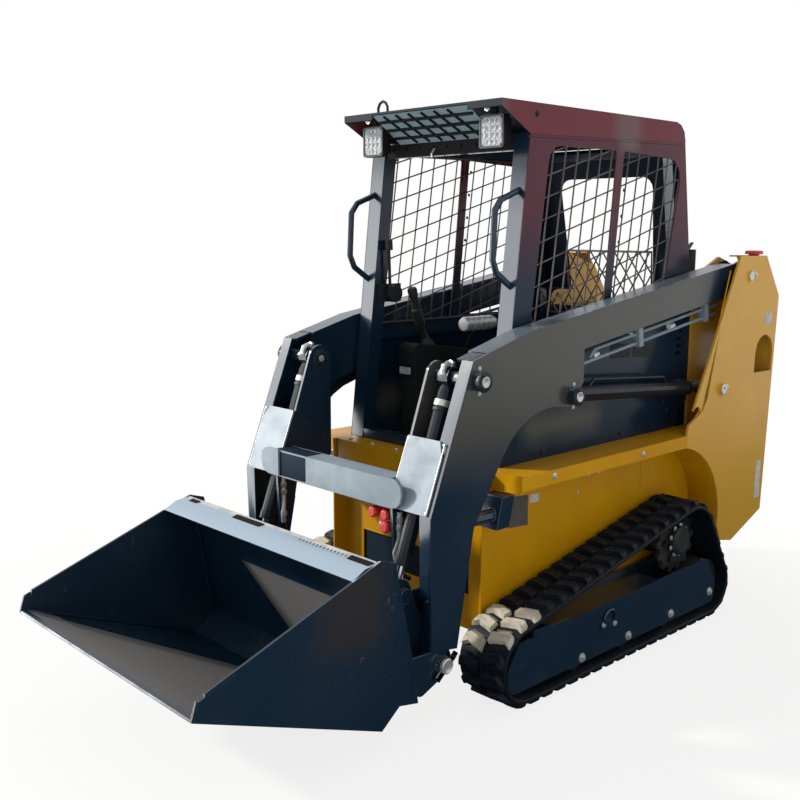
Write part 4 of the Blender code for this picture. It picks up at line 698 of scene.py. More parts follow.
class Form:
    """Mesh under construction, in lengths from the front end of the tracks' ground contact."""

    def __init__(self) -> None:
        """Start empty."""
        self.work = bmesh.new()
        self.slot = 0

    def paint(self, slot: int) -> "Form":
        """Give the faces made from now on another material slot."""
        self.slot = slot
        return self

    def face(self, corners: Sequence[bmesh.types.BMVert]) -> None:
        """Add one face in the current slot."""
        made = self.work.faces.new(corners)
        made.material_index = self.slot

    def loft(self, rings: Sequence[Sequence[Point]], closed: bool = False,
             caps: bool = True) -> "Form":
        """Skin rings of points.

        Args:
            rings: rings with one number of points each.
            closed: join the last ring to the first.
            caps: close the two ends of an open run.

        Returns:
            The form itself.
        """
        made = [[self.work.verts.new(point) for point in ring] for ring in rings]
        pairs = list(zip(made, made[1:]))
        if closed:
            pairs.append((made[-1], made[0]))
        size = len(made[0])
        for lower, upper in pairs:
            for k in range(size):
                nxt = (k + 1) % size
                self.face((lower[k], lower[nxt], upper[nxt], upper[k]))
        if caps and not closed:
            self.face(made[0])
            self.face(list(reversed(made[-1])))
        return self

    def prism(self, outline: Sequence[Flat], low: float, high: float, axis: str = "x") -> "Form":
        """Extrude an outline along an axis: (y, z) for x, (x, z) for y, (x, y) for z."""
        place = {"x": lambda u, v, w: (w, u, v), "y": lambda u, v, w: (u, w, v),
                 "z": lambda u, v, w: (u, v, w)}[axis]
        return self.loft([[place(u, v, w) for u, v in outline] for w in (low, high)])

    def block(self, middle: Point, size: Point) -> "Form":
        """Box about a point."""
        (x, y, z), (dx, dy, dz) = middle, (length / 2.0 for length in size)
        return self.prism(rectangle(y - dy, z - dz, y + dy, z + dz), x - dx, x + dx)

    def turned(self, rows: Sequence[Flat], start: Point, along: Point, sides: int = 20) -> "Form":
        """Turn rows of (distance along, radius) about a line."""
        frame = Vector(along).to_track_quat("Z", "Y").to_matrix()
        rings = []
        for reach, radius in rows:
            ring = [Vector((radius * math.cos(turn), radius * math.sin(turn), reach))
                    for turn in round_turn(sides, 0.5)]
            rings.append([tuple(Vector(start) + frame @ spot) for spot in ring])
        return self.loft(rings)

    def tube(self, route: Sequence[Point], radius: float, sides: int = 8, closed: bool = False,
             swell: Optional[Callable[[int], float]] = None) -> "Form":
        """Round bar along a route.

        Args:
            route: points along the middle.
            radius: radius of the bar.
            sides: flats round the bar.
            closed: join the end to the start.
            swell: factor on the radius at each point.

        Returns:
            The form itself.
        """
        points = [Vector(point) for point in route]
        count = len(points)
        rings = []
        side = None
        for k, point in enumerate(points):
            before = points[k - 1] if k or closed else point
            after = points[(k + 1) % count] if k + 1 < count or closed else point
            heading = (after - before).normalized()
            if side is None:
                side = heading.orthogonal().normalized()
            side = (side - heading * side.dot(heading)).normalized()
            other = heading.cross(side)
            reach = radius * (swell(k) if swell else 1.0)
            rings.append([tuple(point + side * (reach * math.cos(turn))
                                + other * (reach * math.sin(turn)))
                          for turn in round_turn(sides)])
        return self.loft(rings, closed=closed)

    def bolt(self, place: Point, along: Point, width: float) -> "Form":
        """Hexagon bolt head on a round washer.

        Args:
            place: middle of the washer's underside.
            along: direction in which the head stands up.
            width: across the flats.

        Returns:
            The form itself.
        """
        reach = width * 0.60
        self.turned([(0.0, width * 0.86), (0.0016, width * 0.88), (0.0022, width * 0.80)], place,
                    along, 20)
        return self.turned([(0.002, reach), (width * 0.42, reach), (width * 0.50, reach * 0.84)],
                           place, along, 6)

    def weld(self, start: Point, stop: Point, radius: float = 0.0035) -> "Form":
        """Weld bead with ripples from one point to another."""
        start, stop = Vector(start), Vector(stop)
        count = max(3, int((stop - start).length / (radius * 0.9)))
        route = [tuple(start.lerp(stop, k / count)) for k in range(count + 1)]
        return self.tube(route, radius, 6, swell=lambda k: 0.84 + 0.16 * (k % 2))


class Shop:
    """Turns forms into placed pieces with finishes, soft edges and a body to ride on."""

    FRONT = 0.369       # from the model's origin forward to the tracks' ground contact

    def __init__(self, frame: dict, palette: Palette) -> None:
        """Keep the frame and the palette."""
        self.frame = frame
        self.palette = palette

    def place(self, name: str, form: Form, finishes: Sequence[Finish],
              body: Body | str = Body.CHASSIS, edge: float = 0.0, sharp: float = 35.0,
              slot: str = "", levels: int = 0) -> bpy.types.Object:
        """Make the piece.

        Args:
            name: name of the piece.
            form: its mesh, which is used up.
            finishes: one finish for each material slot.
            body: the body that it rides on.
            edge: radius that softens its edges; 0 leaves them.
            sharp: angle in degrees above which an edge stays sharp.
            slot: material slot of the record that the piece takes after; not used.
            levels: levels of subdivision.

        Returns:
            The new object.
        """
        mesh = bpy.data.meshes.new(name)
        bmesh.ops.recalc_face_normals(form.work, faces=form.work.faces)
        bmesh.ops.translate(form.work, vec=(0.0, -self.FRONT, 0.0), verts=form.work.verts)
        for face in form.work.faces:
            face.smooth = True
        form.work.to_mesh(mesh)
        form.work.free()
        mesh.set_sharp_from_angle(angle=math.radians(sharp))
        piece = put(name, mesh)
        for finish in finishes:
            mesh.materials.append(self.palette.get(finish))
        if edge > 0.0:
            soften(piece, edge, sharp).harden_normals = True
        if levels:
            smooth = piece.modifiers.new("smooth", "SUBSURF")
            smooth.levels = smooth.render_levels = levels
        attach(piece, body.value if isinstance(body, Body) else body)
        LOG.info("made %s", name)
        return piece


def clip(start: Flat, along: Flat, outline: Sequence[Flat]) -> Optional[tuple[Flat, Flat]]:
    """Part of an endless line inside an outline that bulges outwards everywhere.

    Args:
        start: a point of the line.
        along: its direction.
        outline: corners, counter-clockwise.

    Returns:
        The two ends, or None where the line passes outside.
    """
    low, high = -10.0, 10.0
    for k, here in enumerate(outline):
        there = outline[(k + 1) % len(outline)]
        inward = (here[1] - there[1], there[0] - here[0])
        depth = (start[0] - here[0]) * inward[0] + (start[1] - here[1]) * inward[1]
        rate = along[0] * inward[0] + along[1] * inward[1]
        if abs(rate) < 1e-9:
            if depth < 0.0:
                return None
            continue
        if rate > 0.0:
            low = max(low, -depth / rate)
        else:
            high = min(high, -depth / rate)
    if high - low < 0.01:
        return None
    return tuple((start[0] + along[0] * t, start[1] + along[1] * t) for t in (low, high))


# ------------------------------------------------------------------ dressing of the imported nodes
class Dresser:
    """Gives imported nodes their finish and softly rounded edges."""

    def __init__(self, frame: dict, palette: Palette) -> None:
        """Keep the frame and make the modifier group that joins the faces."""
        self.nodes = frame["nodes"]
        self.palette = palette
        self.joined = self._joined_faces()

    @staticmethod
    def _joined_faces() -> bpy.types.NodeTree:
        """Geometry group: merge split corners and shade all smooth."""
        tree = bpy.data.node_groups.new("joined_faces", "GeometryNodeTree")
        tree.interface.new_socket("Geometry", in_out="INPUT", socket_type="NodeSocketGeometry")
        tree.interface.new_socket("Geometry", in_out="OUTPUT", socket_type="NodeSocketGeometry")
        start = tree.nodes.new("NodeGroupInput")
        merge = tree.nodes.new("GeometryNodeMergeByDistance")
        merge.inputs["Distance"].default_value = 1e-5
        faces = tree.nodes.new("GeometryNodeSetShadeSmooth")
        edges = tree.nodes.new("GeometryNodeSetShadeSmooth")
        edges.domain = "EDGE"
        stop = tree.nodes.new("NodeGroupOutput")
        for first, second in ((start, merge), (merge, faces), (faces, edges), (edges, stop)):
            tree.links.new(first.outputs[0], second.inputs[0])
        return tree

    def dress(self, names: Iterable[str], finish: Finish, edge: float = EDGE,
              edge_wear_and_highlight: Optional[Finish] = None) -> None:
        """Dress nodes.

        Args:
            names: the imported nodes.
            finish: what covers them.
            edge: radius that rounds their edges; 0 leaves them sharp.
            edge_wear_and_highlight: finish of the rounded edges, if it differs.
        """
        for name in names:
            piece = self.nodes[name]
            piece.data.materials.clear()
            piece.data.materials.append(self.palette.get(finish))
            if edge_wear_and_highlight:
                piece.data.materials.append(self.palette.get(edge_wear_and_highlight))
            if edge <= 0.0:
                continue
            piece.modifiers.new("joined", "NODES").node_group = self.joined
            # The paler edge finish paints a highlight along the rounded edges, with real wear of
            # the paint.
            soften(piece, edge, EDGE_ANGLE).material = 1 if edge_wear_and_highlight else -1
            piece.modifiers.new("even", "WEIGHTED_NORMAL").keep_sharp = False
        LOG.info("dressed %s in %s", ", ".join(names), finish.name)


def both(*stems: str) -> list[str]:
    """Left and right names of each stem."""
    return [f"{stem}_{name}" for stem in stems for name, _ in SIDES]


# ------------------------------------------------------------------ tracks
class Loop:
    """Closed path of a belt round its wheels, by the distance along it."""

    def __init__(self, wheels: Sequence[tuple[Flat, float]]) -> None:
        """Lay the path.

        Args:
            wheels: centres (y, z) and radii of the path round them.
        """
        normals = []
        for (start, r0), (stop, r1) in zip(wheels, list(wheels[1:]) + [wheels[0]]):
            heading = math.atan2(stop[1] - start[1], stop[0] - start[0])
            normals.append(heading - math.pi / 2.0 + math.asin((r0 - r1) / math.dist(start, stop)))
        self.points: list[Flat] = []
        for k, (centre, radius) in enumerate(wheels):
            begin, end = normals[k - 1], normals[k]
            while end < begin:
                end += 2.0 * math.pi
            steps = max(2, math.ceil((end - begin) / math.radians(4.0)))
            for n in range(steps + 1):
                turn = begin + (end - begin) * n / steps
                self.points.append((centre[0] + radius * math.cos(turn),
                                    centre[1] + radius * math.sin(turn)))
        ring = self.points + self.points[:1]
        self.marks = [0.0]
        for start, stop in zip(ring, ring[1:]):
            self.marks.append(self.marks[-1] + math.dist(start, stop))
        self.length = self.marks[-1]

    def at(self, distance: float, off: float = 0.0) -> Flat:
        """Point at a distance along the path, moved outwards."""
        distance %= self.length
        leg = bisect.bisect_right(self.marks, distance) - 1
        start, stop = self.points[leg], self.points[(leg + 1) % len(self.points)]
        reach = math.dist(start, stop)
        heading = ((stop[0] - start[0]) / reach, (stop[1] - start[1]) / reach)
        step = distance - self.marks[leg]
        return (start[0] + heading[0] * step + heading[1] * off,
                start[1] + heading[1] * step - heading[0] * off)


@dataclass
class RubberTrack:
    """Endless rubber belt with two staggered rows of bent tread blocks."""

    wheels: tuple = (((0.120, 0.150), 0.132), ((1.305, 0.135), 0.117), ((1.140, 0.350), 0.152))
    middle: float = 0.500
    half: float = 0.100
    band: float = 0.014
    lug: float = 0.0172
    pitch: float = 0.072
    guide_half: float = 0.009
    dusty: tuple[float, float] = (-0.02, 0.165)     # stretch round the front wheel with dried mud

    def build(self, shop: Shop) -> None:
        """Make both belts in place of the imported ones."""
        loop = Loop(self.wheels)
        count = round(loop.length / self.pitch)
        for name, side in SIDES:
            form = Form()
            self._band(form, loop, side)
            for k in range(count):
                self._block(form, loop, side, loop.length * k / count, 1)
                self._block(form, loop, side, loop.length * (k + 0.5) / count, -1)
                self._guide(form, loop, side, loop.length * (k + 0.25) / count)
            belt = shop.place(f"rubber_track_{name}", form, (RUBBER, DRIED_MUD), edge=0.0016,
                              sharp=40.0, slot="black_rubber")
            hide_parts(f"track_{name}")

    def _band(self, form: Form, loop: Loop, side: int) -> None:
        """Belt body with rounded edges and a sunken middle line outside."""
        rows = ((self.half - 0.003, 0.0), (self.half, -0.003), (self.half, -self.band + 0.003),
                (self.half - 0.003, -self.band), (-self.half + 0.003, -self.band),
                (-self.half, -self.band + 0.003), (-self.half, -0.003), (-self.half + 0.003, 0.0),
                (-0.006, 0.0), (-0.004, -0.003), (0.004, -0.003), (0.006, 0.0))
        steps = 220
        rings = []
        for n in range(steps):
            ring = []
            for across, off in rows:
                y, z = loop.at(loop.length * n / steps, off)
                ring.append((side * (self.middle + across), y, z))
            rings.append(ring)
        form.paint(0).loft(rings, closed=True)

    def _block(self, form: Form, loop: Loop, side: int, where: float, way: int) -> None:
        """One tread block: a bar that slants back, then bends forward at its outer end."""
        spine = ((0.007, 0.000), (0.034, -0.008), (0.068, -0.016), (0.086, -0.006), (0.0955, 0.004))
        here = loop.at(where)
        form.paint(1 if self._muddy(here) else 0)
        rings = []
        for across, shift in spine:
            foot, top = (0.0225, 0.0150) if across < 0.09 else (0.0150, 0.0080)
            height = self.lug if across < 0.09 else self.lug * 0.55
            ring = []
            for step, off in ((-foot, -0.001), (-top, height), (-top * 0.35, height),
                              (0.0, height * (0.86 if 0.02 < across < 0.08 else 1.0)),
                              (top * 0.35, height), (top, height), (foot, -0.001)):
                y, z = loop.at(where + shift + step, off)
                ring.append((side * (self.middle + way * across), y, z))
            rings.append(ring)
        form.loft(rings)
        for k in range(6):
            y, z = loop.at(where - 0.004 - 0.0025 * k, 0.0)
            across = way * (0.020 + 0.009 * k)
            shift = -0.012 - 0.0020 * k
            low = loop.at(where + shift - 0.0205, 0.0005)
            high = loop.at(where + shift - 0.0145, self.lug * 0.80)
            x = side * (self.middle + across)
            form.tube([(x, *low), (x, *high)], 0.0022, 5)

    def _muddy(self, here: Flat) -> bool:
        """Blocks at the front end of the top run carry dried mud."""
        return here[1] > 0.200 and self.dusty[0] < here[0] < self.dusty[1]

    def _guide(self, form: Form, loop: Loop, side: int, where: float) -> None:
        """Pair of guide teeth on the inner face."""
        form.paint(0)
        for way in (-1, 1):
            rings = []
            for step in (-0.016, 0.016):
                low = loop.at(where + step, -self.band + 0.001)
                high = loop.at(where + step * 0.5, -self.band - 0.0105)
                inner, outer = self.guide_half, self.guide_half + 0.002
                rings.append([(side * (self.middle + way * (outer - 0.006)), *low),
                              (side * (self.middle + way * (inner - 0.004)), *high),
                              (side * (self.middle + way * inner), *high),
                              (side * (self.middle + way * outer), *low)])
            form.loft(rings)


@dataclass
class TrackFrameFittings:
    """Bolts, ring, rail, welds, tensioner and hub cover of the two track frames."""

    face: float = 0.588
    roller_bolts: tuple = ((0.423, 0.084), (0.709, 0.086), (1.000, 0.094), (1.290, 0.113))
    front_bolt: Flat = (0.095, 0.140)
    ring_middle: Flat = (0.580, 0.182)
    ring_radius: float = 0.034
    sprocket: tuple[float, float, float] = (1.140, 0.350, 0.060)
    tensioner: Flat = (0.300, 0.150)            # y of its front end, z

    def build(self, shop: Shop) -> None:
        """Make the fittings of both sides."""
        for name, side in SIDES:
            self._outside(shop, name, side)
            self._tensioner(shop, name, side)
            self._sprocket(shop, name, side)

    def _outside(self, shop: Shop, name: str, side: int) -> None:
        """Bolts, the ring on its plate, a rail and welds on the outer plate."""
        out = (side, 0.0, 0.0)
        form = Form()
        for y, z in self.roller_bolts:
            form.bolt((side * self.face, y, z), out, 0.020)
        form.paint(1)
        y, z = self.front_bolt
        form.turned([(-0.001, 0.020), (0.0012, 0.020), (0.0016, 0.016), (0.0008, 0.014)],
                    (side * self.face, y, z), out, 24)
        y, z = self.ring_middle
        plate = rounded(with_radius(((y - 0.052, z - 0.028), (y + 0.052, z - 0.046),
                                     (y + 0.052, z - 0.006), (y - 0.052, z + 0.012)), 0.010), 3)
        form.prism(plate, side * (self.face - 0.001), side * (self.face + 0.0035))
        route = [(side * (self.face + 0.0058), y + self.ring_radius * math.cos(a),
                  z + 0.006 + self.ring_radius * math.sin(a)) for a in
                 (math.radians(-20.0 + 11.0 * k) for k in range(21))]
        form.tube([(side * self.face, route[0][1], route[0][2])] + route
                  + [(side * self.face, route[-1][1], route[-1][2])], 0.0055, 8)
        form.paint(0)
        for shift in (-0.034, 0.034):
            form.bolt((side * (self.face + 0.003), y + shift, z - 0.014 - 0.17 * shift), out, 0.013)
        form.paint(1)
        rail = rounded(with_radius(((0.150, 0.236), (0.345, 0.218), (0.345, 0.250), (0.150, 0.262)),
                                   0.004), 2)
        form.prism(rail, side * (self.face - 0.0120), side * (self.face + 0.0016))
        for start, stop in (((0.060, 0.232), (0.270, 0.236)), ((0.960, 0.236), (1.240, 0.262))):
            form.weld((side * (self.face - 0.009), *start), (side * (self.face - 0.009), *stop),
                      0.003)
        shop.place(f"track_frame_fittings_{name}", form, (BRIGHT, SLATE), edge=0.0008,
                   slot="slate_paint")

    def _tensioner(self, shop: Shop, name: str, side: int) -> None:
        """Grease cylinder and coil spring between the frame plates, seen from above and below."""
        start, z = self.tensioner
        x = side * 0.500
        form = Form()
        form.turned([(0.0, 0.020), (0.170, 0.020), (0.172, 0.011), (0.400, 0.011)], (x, start, z),
                    BACKWARD)
        turns = 9
        route = [(x + 0.026 * math.cos(2.0 * math.pi * k / 14),
                  start + 0.180 + 0.205 * k / (turns * 14),
                  z + 0.026 * math.sin(2.0 * math.pi * k / 14)) for k in range(turns * 14 + 1)]
        form.paint(1).tube(route, 0.0055, 7)
        shop.place(f"track_tensioner_{name}", form, (ZINC_AND_GLARE, CASTING), slot="slate_paint")

    def _sprocket(self, shop: Shop, name: str, side: int) -> None:
        """Ring of bolts and hub cover on the drive sprocket."""
        y, z, ring = self.sprocket
        form = Form()
        x = side * 0.5245
        for turn in round_turn(9):
            form.bolt((x, y + ring * math.cos(turn), z + ring * math.sin(turn)), (side, 0.0, 0.0),
                      0.012)
        form.turned([(0.0, 0.038), (0.010, 0.038), (0.014, 0.034), (0.016, 0.010)], (x, y, z),
                    (side, 0.0, 0.0), 28)
        shop.place(f"drive_hub_{name}", form, (BRIGHT,), edge=0.0006, slot="slate_paint")


# ------------------------------------------------------------------ cab guards
@dataclass
class CabGuards:
    """Welded wire in the side windows and the diamond lattice behind the seat."""

    plane: float = 0.3807
    wire: float = 0.0029
    rise: float = 0.283             # slope of the lengthwise wires
    lean: float = 0.135             # of the upright wires
    level: tuple[float, float, float] = (0.400, 1.757, 0.0726)      # y, z of one wire, spacing
    mark: float = 1.78              # height at which the upright wires have their places
    front_bay: tuple[float, float, float] = (0.431, 0.0680, 0.790)  # first wire, spacing, end
    rear_bay: tuple[float, float, float] = (0.880, 0.0657, 1.300)
    region: tuple = ((0.322, 1.212, 0.02), (1.138, 1.212, 0.02), (1.268, 1.872, 0.08),
                     (0.4165, 1.872, 0.06))
    panel: tuple[Flat, ...] = ((1.372, 1.180), (1.354, 1.394), (1.2708, 1.920))    # rear, upwards
    inset: float = 0.014            # of the lattice from that panel
    layer: float = 0.003            # of the bars that lean one way from its middle
    diamond: float = 0.062          # spacing of the bars
    tilt: float = 0.62              # their run across for each metre of height

    def build(self, shop: Shop) -> None:
        """Make the guards."""
        outline = rounded(self.region)
        for name, side in SIDES:
            form = Form()
            for start, along, depth in self._lines():
                ends = clip(start, along, outline)
                if ends:
                    x = side * (self.plane + depth)
                    form.tube([(x, *ends[0]), (x, *ends[1])], self.wire, 8)
            rim = [(side * self.plane, y, z) for y, z in outline]
            form.tube(rim, 0.0042, 8, closed=True)
            guard = shop.place(f"wire_guard_{name}", form, (WIRE,), slot="slate_paint")
            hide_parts(f"window_mesh_{name}")
        self._rear(shop)

    def _lines(self) -> list[tuple[Flat, Flat, float]]:
        """Wires as a point, a direction and the offset of their layer."""
        y0, z0, gap = self.level
        lines = [((y0, z0 + gap * k), (1.0, self.rise), 0.0) for k in range(-9, 3)]
        for first, spacing, end in (self.front_bay, self.rear_bay):
            k = 0
            while first + spacing * k < end:
                lines.append(((first + spacing * k, self.mark), (self.lean, 1.0), 2.0 * self.wire))
                k += 1
        first, spacing, _ = self.front_bay
        lines.append(((first - spacing, self.mark), (self.lean, 1.0), 2.0 * self.wire))
        lines.append(((0.8205, self.mark), (self.lean, 1.0), 2.0 * self.wire))
        return lines

    def _rear(self, shop: Shop) -> None:
        """Flat bars crossed as diamonds in the lower part of the rear opening."""
        outline = [(-0.328, 1.207), (0.328, 1.207), (0.328, 1.318), (0.216, 1.318), (0.222, 1.490),
                   (-0.222, 1.490), (-0.216, 1.318), (-0.328, 1.318)]
        form = Form()
        lower = rectangle(-0.328, 1.207, 0.328, 1.300)
        upper = [(-0.216, 1.300), (0.216, 1.300), (0.222, 1.490), (-0.222, 1.490)]
        for way in (-1, 1):
            for k in range(-14, 15):
                for part in (lower, upper):
                    ends = clip((k * self.diamond, 1.35), (way * self.tilt, 1.0), part)
                    if ends:
                        form.tube([self._behind(x, z, way) for x, z in ends], 0.0034, 6)
        form.tube([self._behind(x, z, 0) for x, z in outline], 0.0052, 8, closed=True)
        shop.place("rear_lattice", form, (WIRE,), slot="slate_paint")

    def _behind(self, x: float, z: float, way: int) -> Point:
        """Point of a layer of bars on the inner side of the bent rear panel."""
        foot, bend, head = self.panel
        (y0, z0), (y1, z1) = (foot, bend) if z < bend[1] else (bend, head)
        return (x, y0 + (y1 - y0) * (z - z0) / (z1 - z0) - self.inset + self.layer * way, z)


# ------------------------------------------------------------------ cab fittings
@dataclass
class WorkLights:
    """Two square working lamps: bezel, lens, round reflectors and screws."""

    centre: float = 0.294
    front: float = 0.226
    low: float = 1.846
    high: float = 1.956
    half: float = 0.054
    cell: float = 0.023             # spacing of the reflectors
    screw: float = 0.044            # from the middle to the screws

    def build(self, shop: Shop) -> None:
        """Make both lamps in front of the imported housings."""
        for name, side in SIDES:
            x, y = side * self.centre, self.front
            middle = (self.low + self.high) / 2.0
            form = Form().paint(2)
            outer, inner = (rectangle(x - half, middle - half, x + half, middle + half, radius, 4)
                            for half, radius in ((self.half, 0.010), (self.half * 0.88, 0.008)))
            steps = ((outer, y + 0.003), (outer, y - 0.004), (inner, y - 0.0045),
                     (inner, y - 0.001))
            form.loft([[(u, depth, v) for u, v in shape] for shape, depth in steps])
            form.paint(0).loft([[(u, depth, v) for u, v in inner]
                                for depth in (y - 0.0008, y - 0.0016)])
            form.paint(1)
            for row in range(4):
                for column in range(4):
                    if row in (0, 3) and column in (0, 3):
                        continue
                    u = x + (column - 1.5) * self.cell
                    v = middle + (row - 1.5) * self.cell
                    form.turned([(-0.0008, 0.0102), (0.0014, 0.0102), (0.0018, 0.0090),
                                 (0.0002, 0.0056), (0.0002, 0.0030)], (u, y - 0.0015, v),
                                FORWARD, 20)
            form.paint(2)
            for du, dv in rectangle(-self.screw, -self.screw, self.screw, self.screw):
                form.turned([(0.0, 0.0035), (0.0016, 0.0035), (0.0020, 0.0028)],
                            (x + du, y - 0.0045, middle + dv), FORWARD, 10)
            shop.place(f"lamp_face_{name}", form, (LENS, REFLECTOR, CASTING), slot="lamp_glass")


@dataclass
class FrontGuard:
    """Expanded steel bars over the sloping front of the roof, and a pale sheet under them that
    paints sky light on the visor plate.
    """

    foot: Flat = (0.3155, 1.8930)
    head: Flat = (0.1690, 1.9905)
    half: float = 0.236
    pitch: float = 0.0635
    row: float = 0.0465
    slant: float = -0.045

    def build(self, shop: Shop) -> None:
        """Make the bars."""
        run = (self.head[0] - self.foot[0], self.head[1] - self.foot[1])
        length = math.hypot(*run)
        along = (run[0] / length, run[1] / length)
        out = (-along[1], along[0])

        def spot(x: float, reach: float, off: float) -> Point:
            """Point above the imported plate's face, by the distance from its foot."""
            off += 0.0022
            return (x, self.foot[0] + along[0] * reach + out[0] * off,
                    self.foot[1] + along[1] * reach + out[1] * off)

        form = Form()
        for k in range(-2, 4):
            low = k * self.pitch - 0.010
            ends = ((low, 0.012), (low + self.slant, length - 0.010))
            form.tube([spot(x, reach, 0.0035) for x, reach in ends], 0.0050, 6)
        for k in range(1, 4):
            reach = self.row * k - 0.004
            form.tube([spot(x, reach, 0.0045) for x in (-self.half + 0.006, self.half - 0.006)],
                      0.0058, 6)
        shop.place("front_guard_bars", form, (MATT_BLACK,), slot="slate_paint")
        # Pale sheet on the visor plate under the bars: painted sky light.
        plate = Form()
        corners = rectangle(-self.half, 0.004, self.half, length - 0.004)
        plate.loft([[spot(x, reach, off) for x, reach in corners] for off in (-0.0004, 0.0012)])
        shop.place("front_guard_plate", plate, (SKY_LIT_SLATE,), slot="slate_paint")


@dataclass
class CabTrim:
    """Bolts, seams and blank plates on the cab's shell."""

    outer: float = 0.389
    seam_front: Flat = (0.300, 1.884)
    seam_rear: Flat = (1.262, 1.912)

    def build(self, shop: Shop) -> None:
        """Make the trim of both sides and the front."""
        for name, side in SIDES:
            out = (side, 0.0, 0.0)
            x = side * self.outer
            form = Form()
            form.weld((x - side * 0.001, *self.seam_front), (x - side * 0.001, *self.seam_rear),
                      0.0030)
            form.paint(1)
            for k in range(7):
                form.bolt((x, 0.8075 + 0.0105 * k, 1.250 + 0.095 * k), out, 0.0075)
            for y, z in ((0.345, 1.960), (1.190, 0.890), (1.222, 0.853), (0.420, 0.800),
                         (0.900, 0.800)):
                form.bolt((x, y, z), out, 0.012)
            form.paint(2)
            for y0, y1, drop in ((0.815, 0.945, 0.0), (0.965, 1.098, -0.008)):
                plate = rounded(with_radius(((y0, 1.100 + drop), (y1, 1.094 + drop),
                                             (y1, 1.148 + drop), (y0, 1.154 + drop)), 0.006), 3)
                form.prism(plate, x - side * 0.001, x + side * 0.0016)
            shop.place(f"cab_side_trim_{name}", form, (CAB_PAINT_AND_REFLECTION, CASTING, CASTING), edge=0.0005,
                       slot="slate_paint")
        front = Form()
        front.prism(rectangle(-0.320, 1.844, 0.320, 1.894), 0.3160, 0.3175, "y")
        for k in range(9):
            x = -0.280 + 0.070 * k
            front.turned([(0.0, 0.0055), (0.004, 0.0055), (0.0055, 0.0040)], (x, 0.3168, 1.872),
                         FORWARD, 12)
        front.paint(1)
        for side in (-1, 1):
            front.bolt((side * 0.294, 0.200, 1.975), FORWARD, 0.014)
        front.tube([(-0.060, 0.3150, 1.868), (-0.060, 0.300, 1.850), (-0.060, 0.302, 1.836)],
                   0.0045, 8)
        shop.place("cab_header_trim", front, (MATT_BLACK, BRIGHT), edge=0.0005, slot="slate_paint")


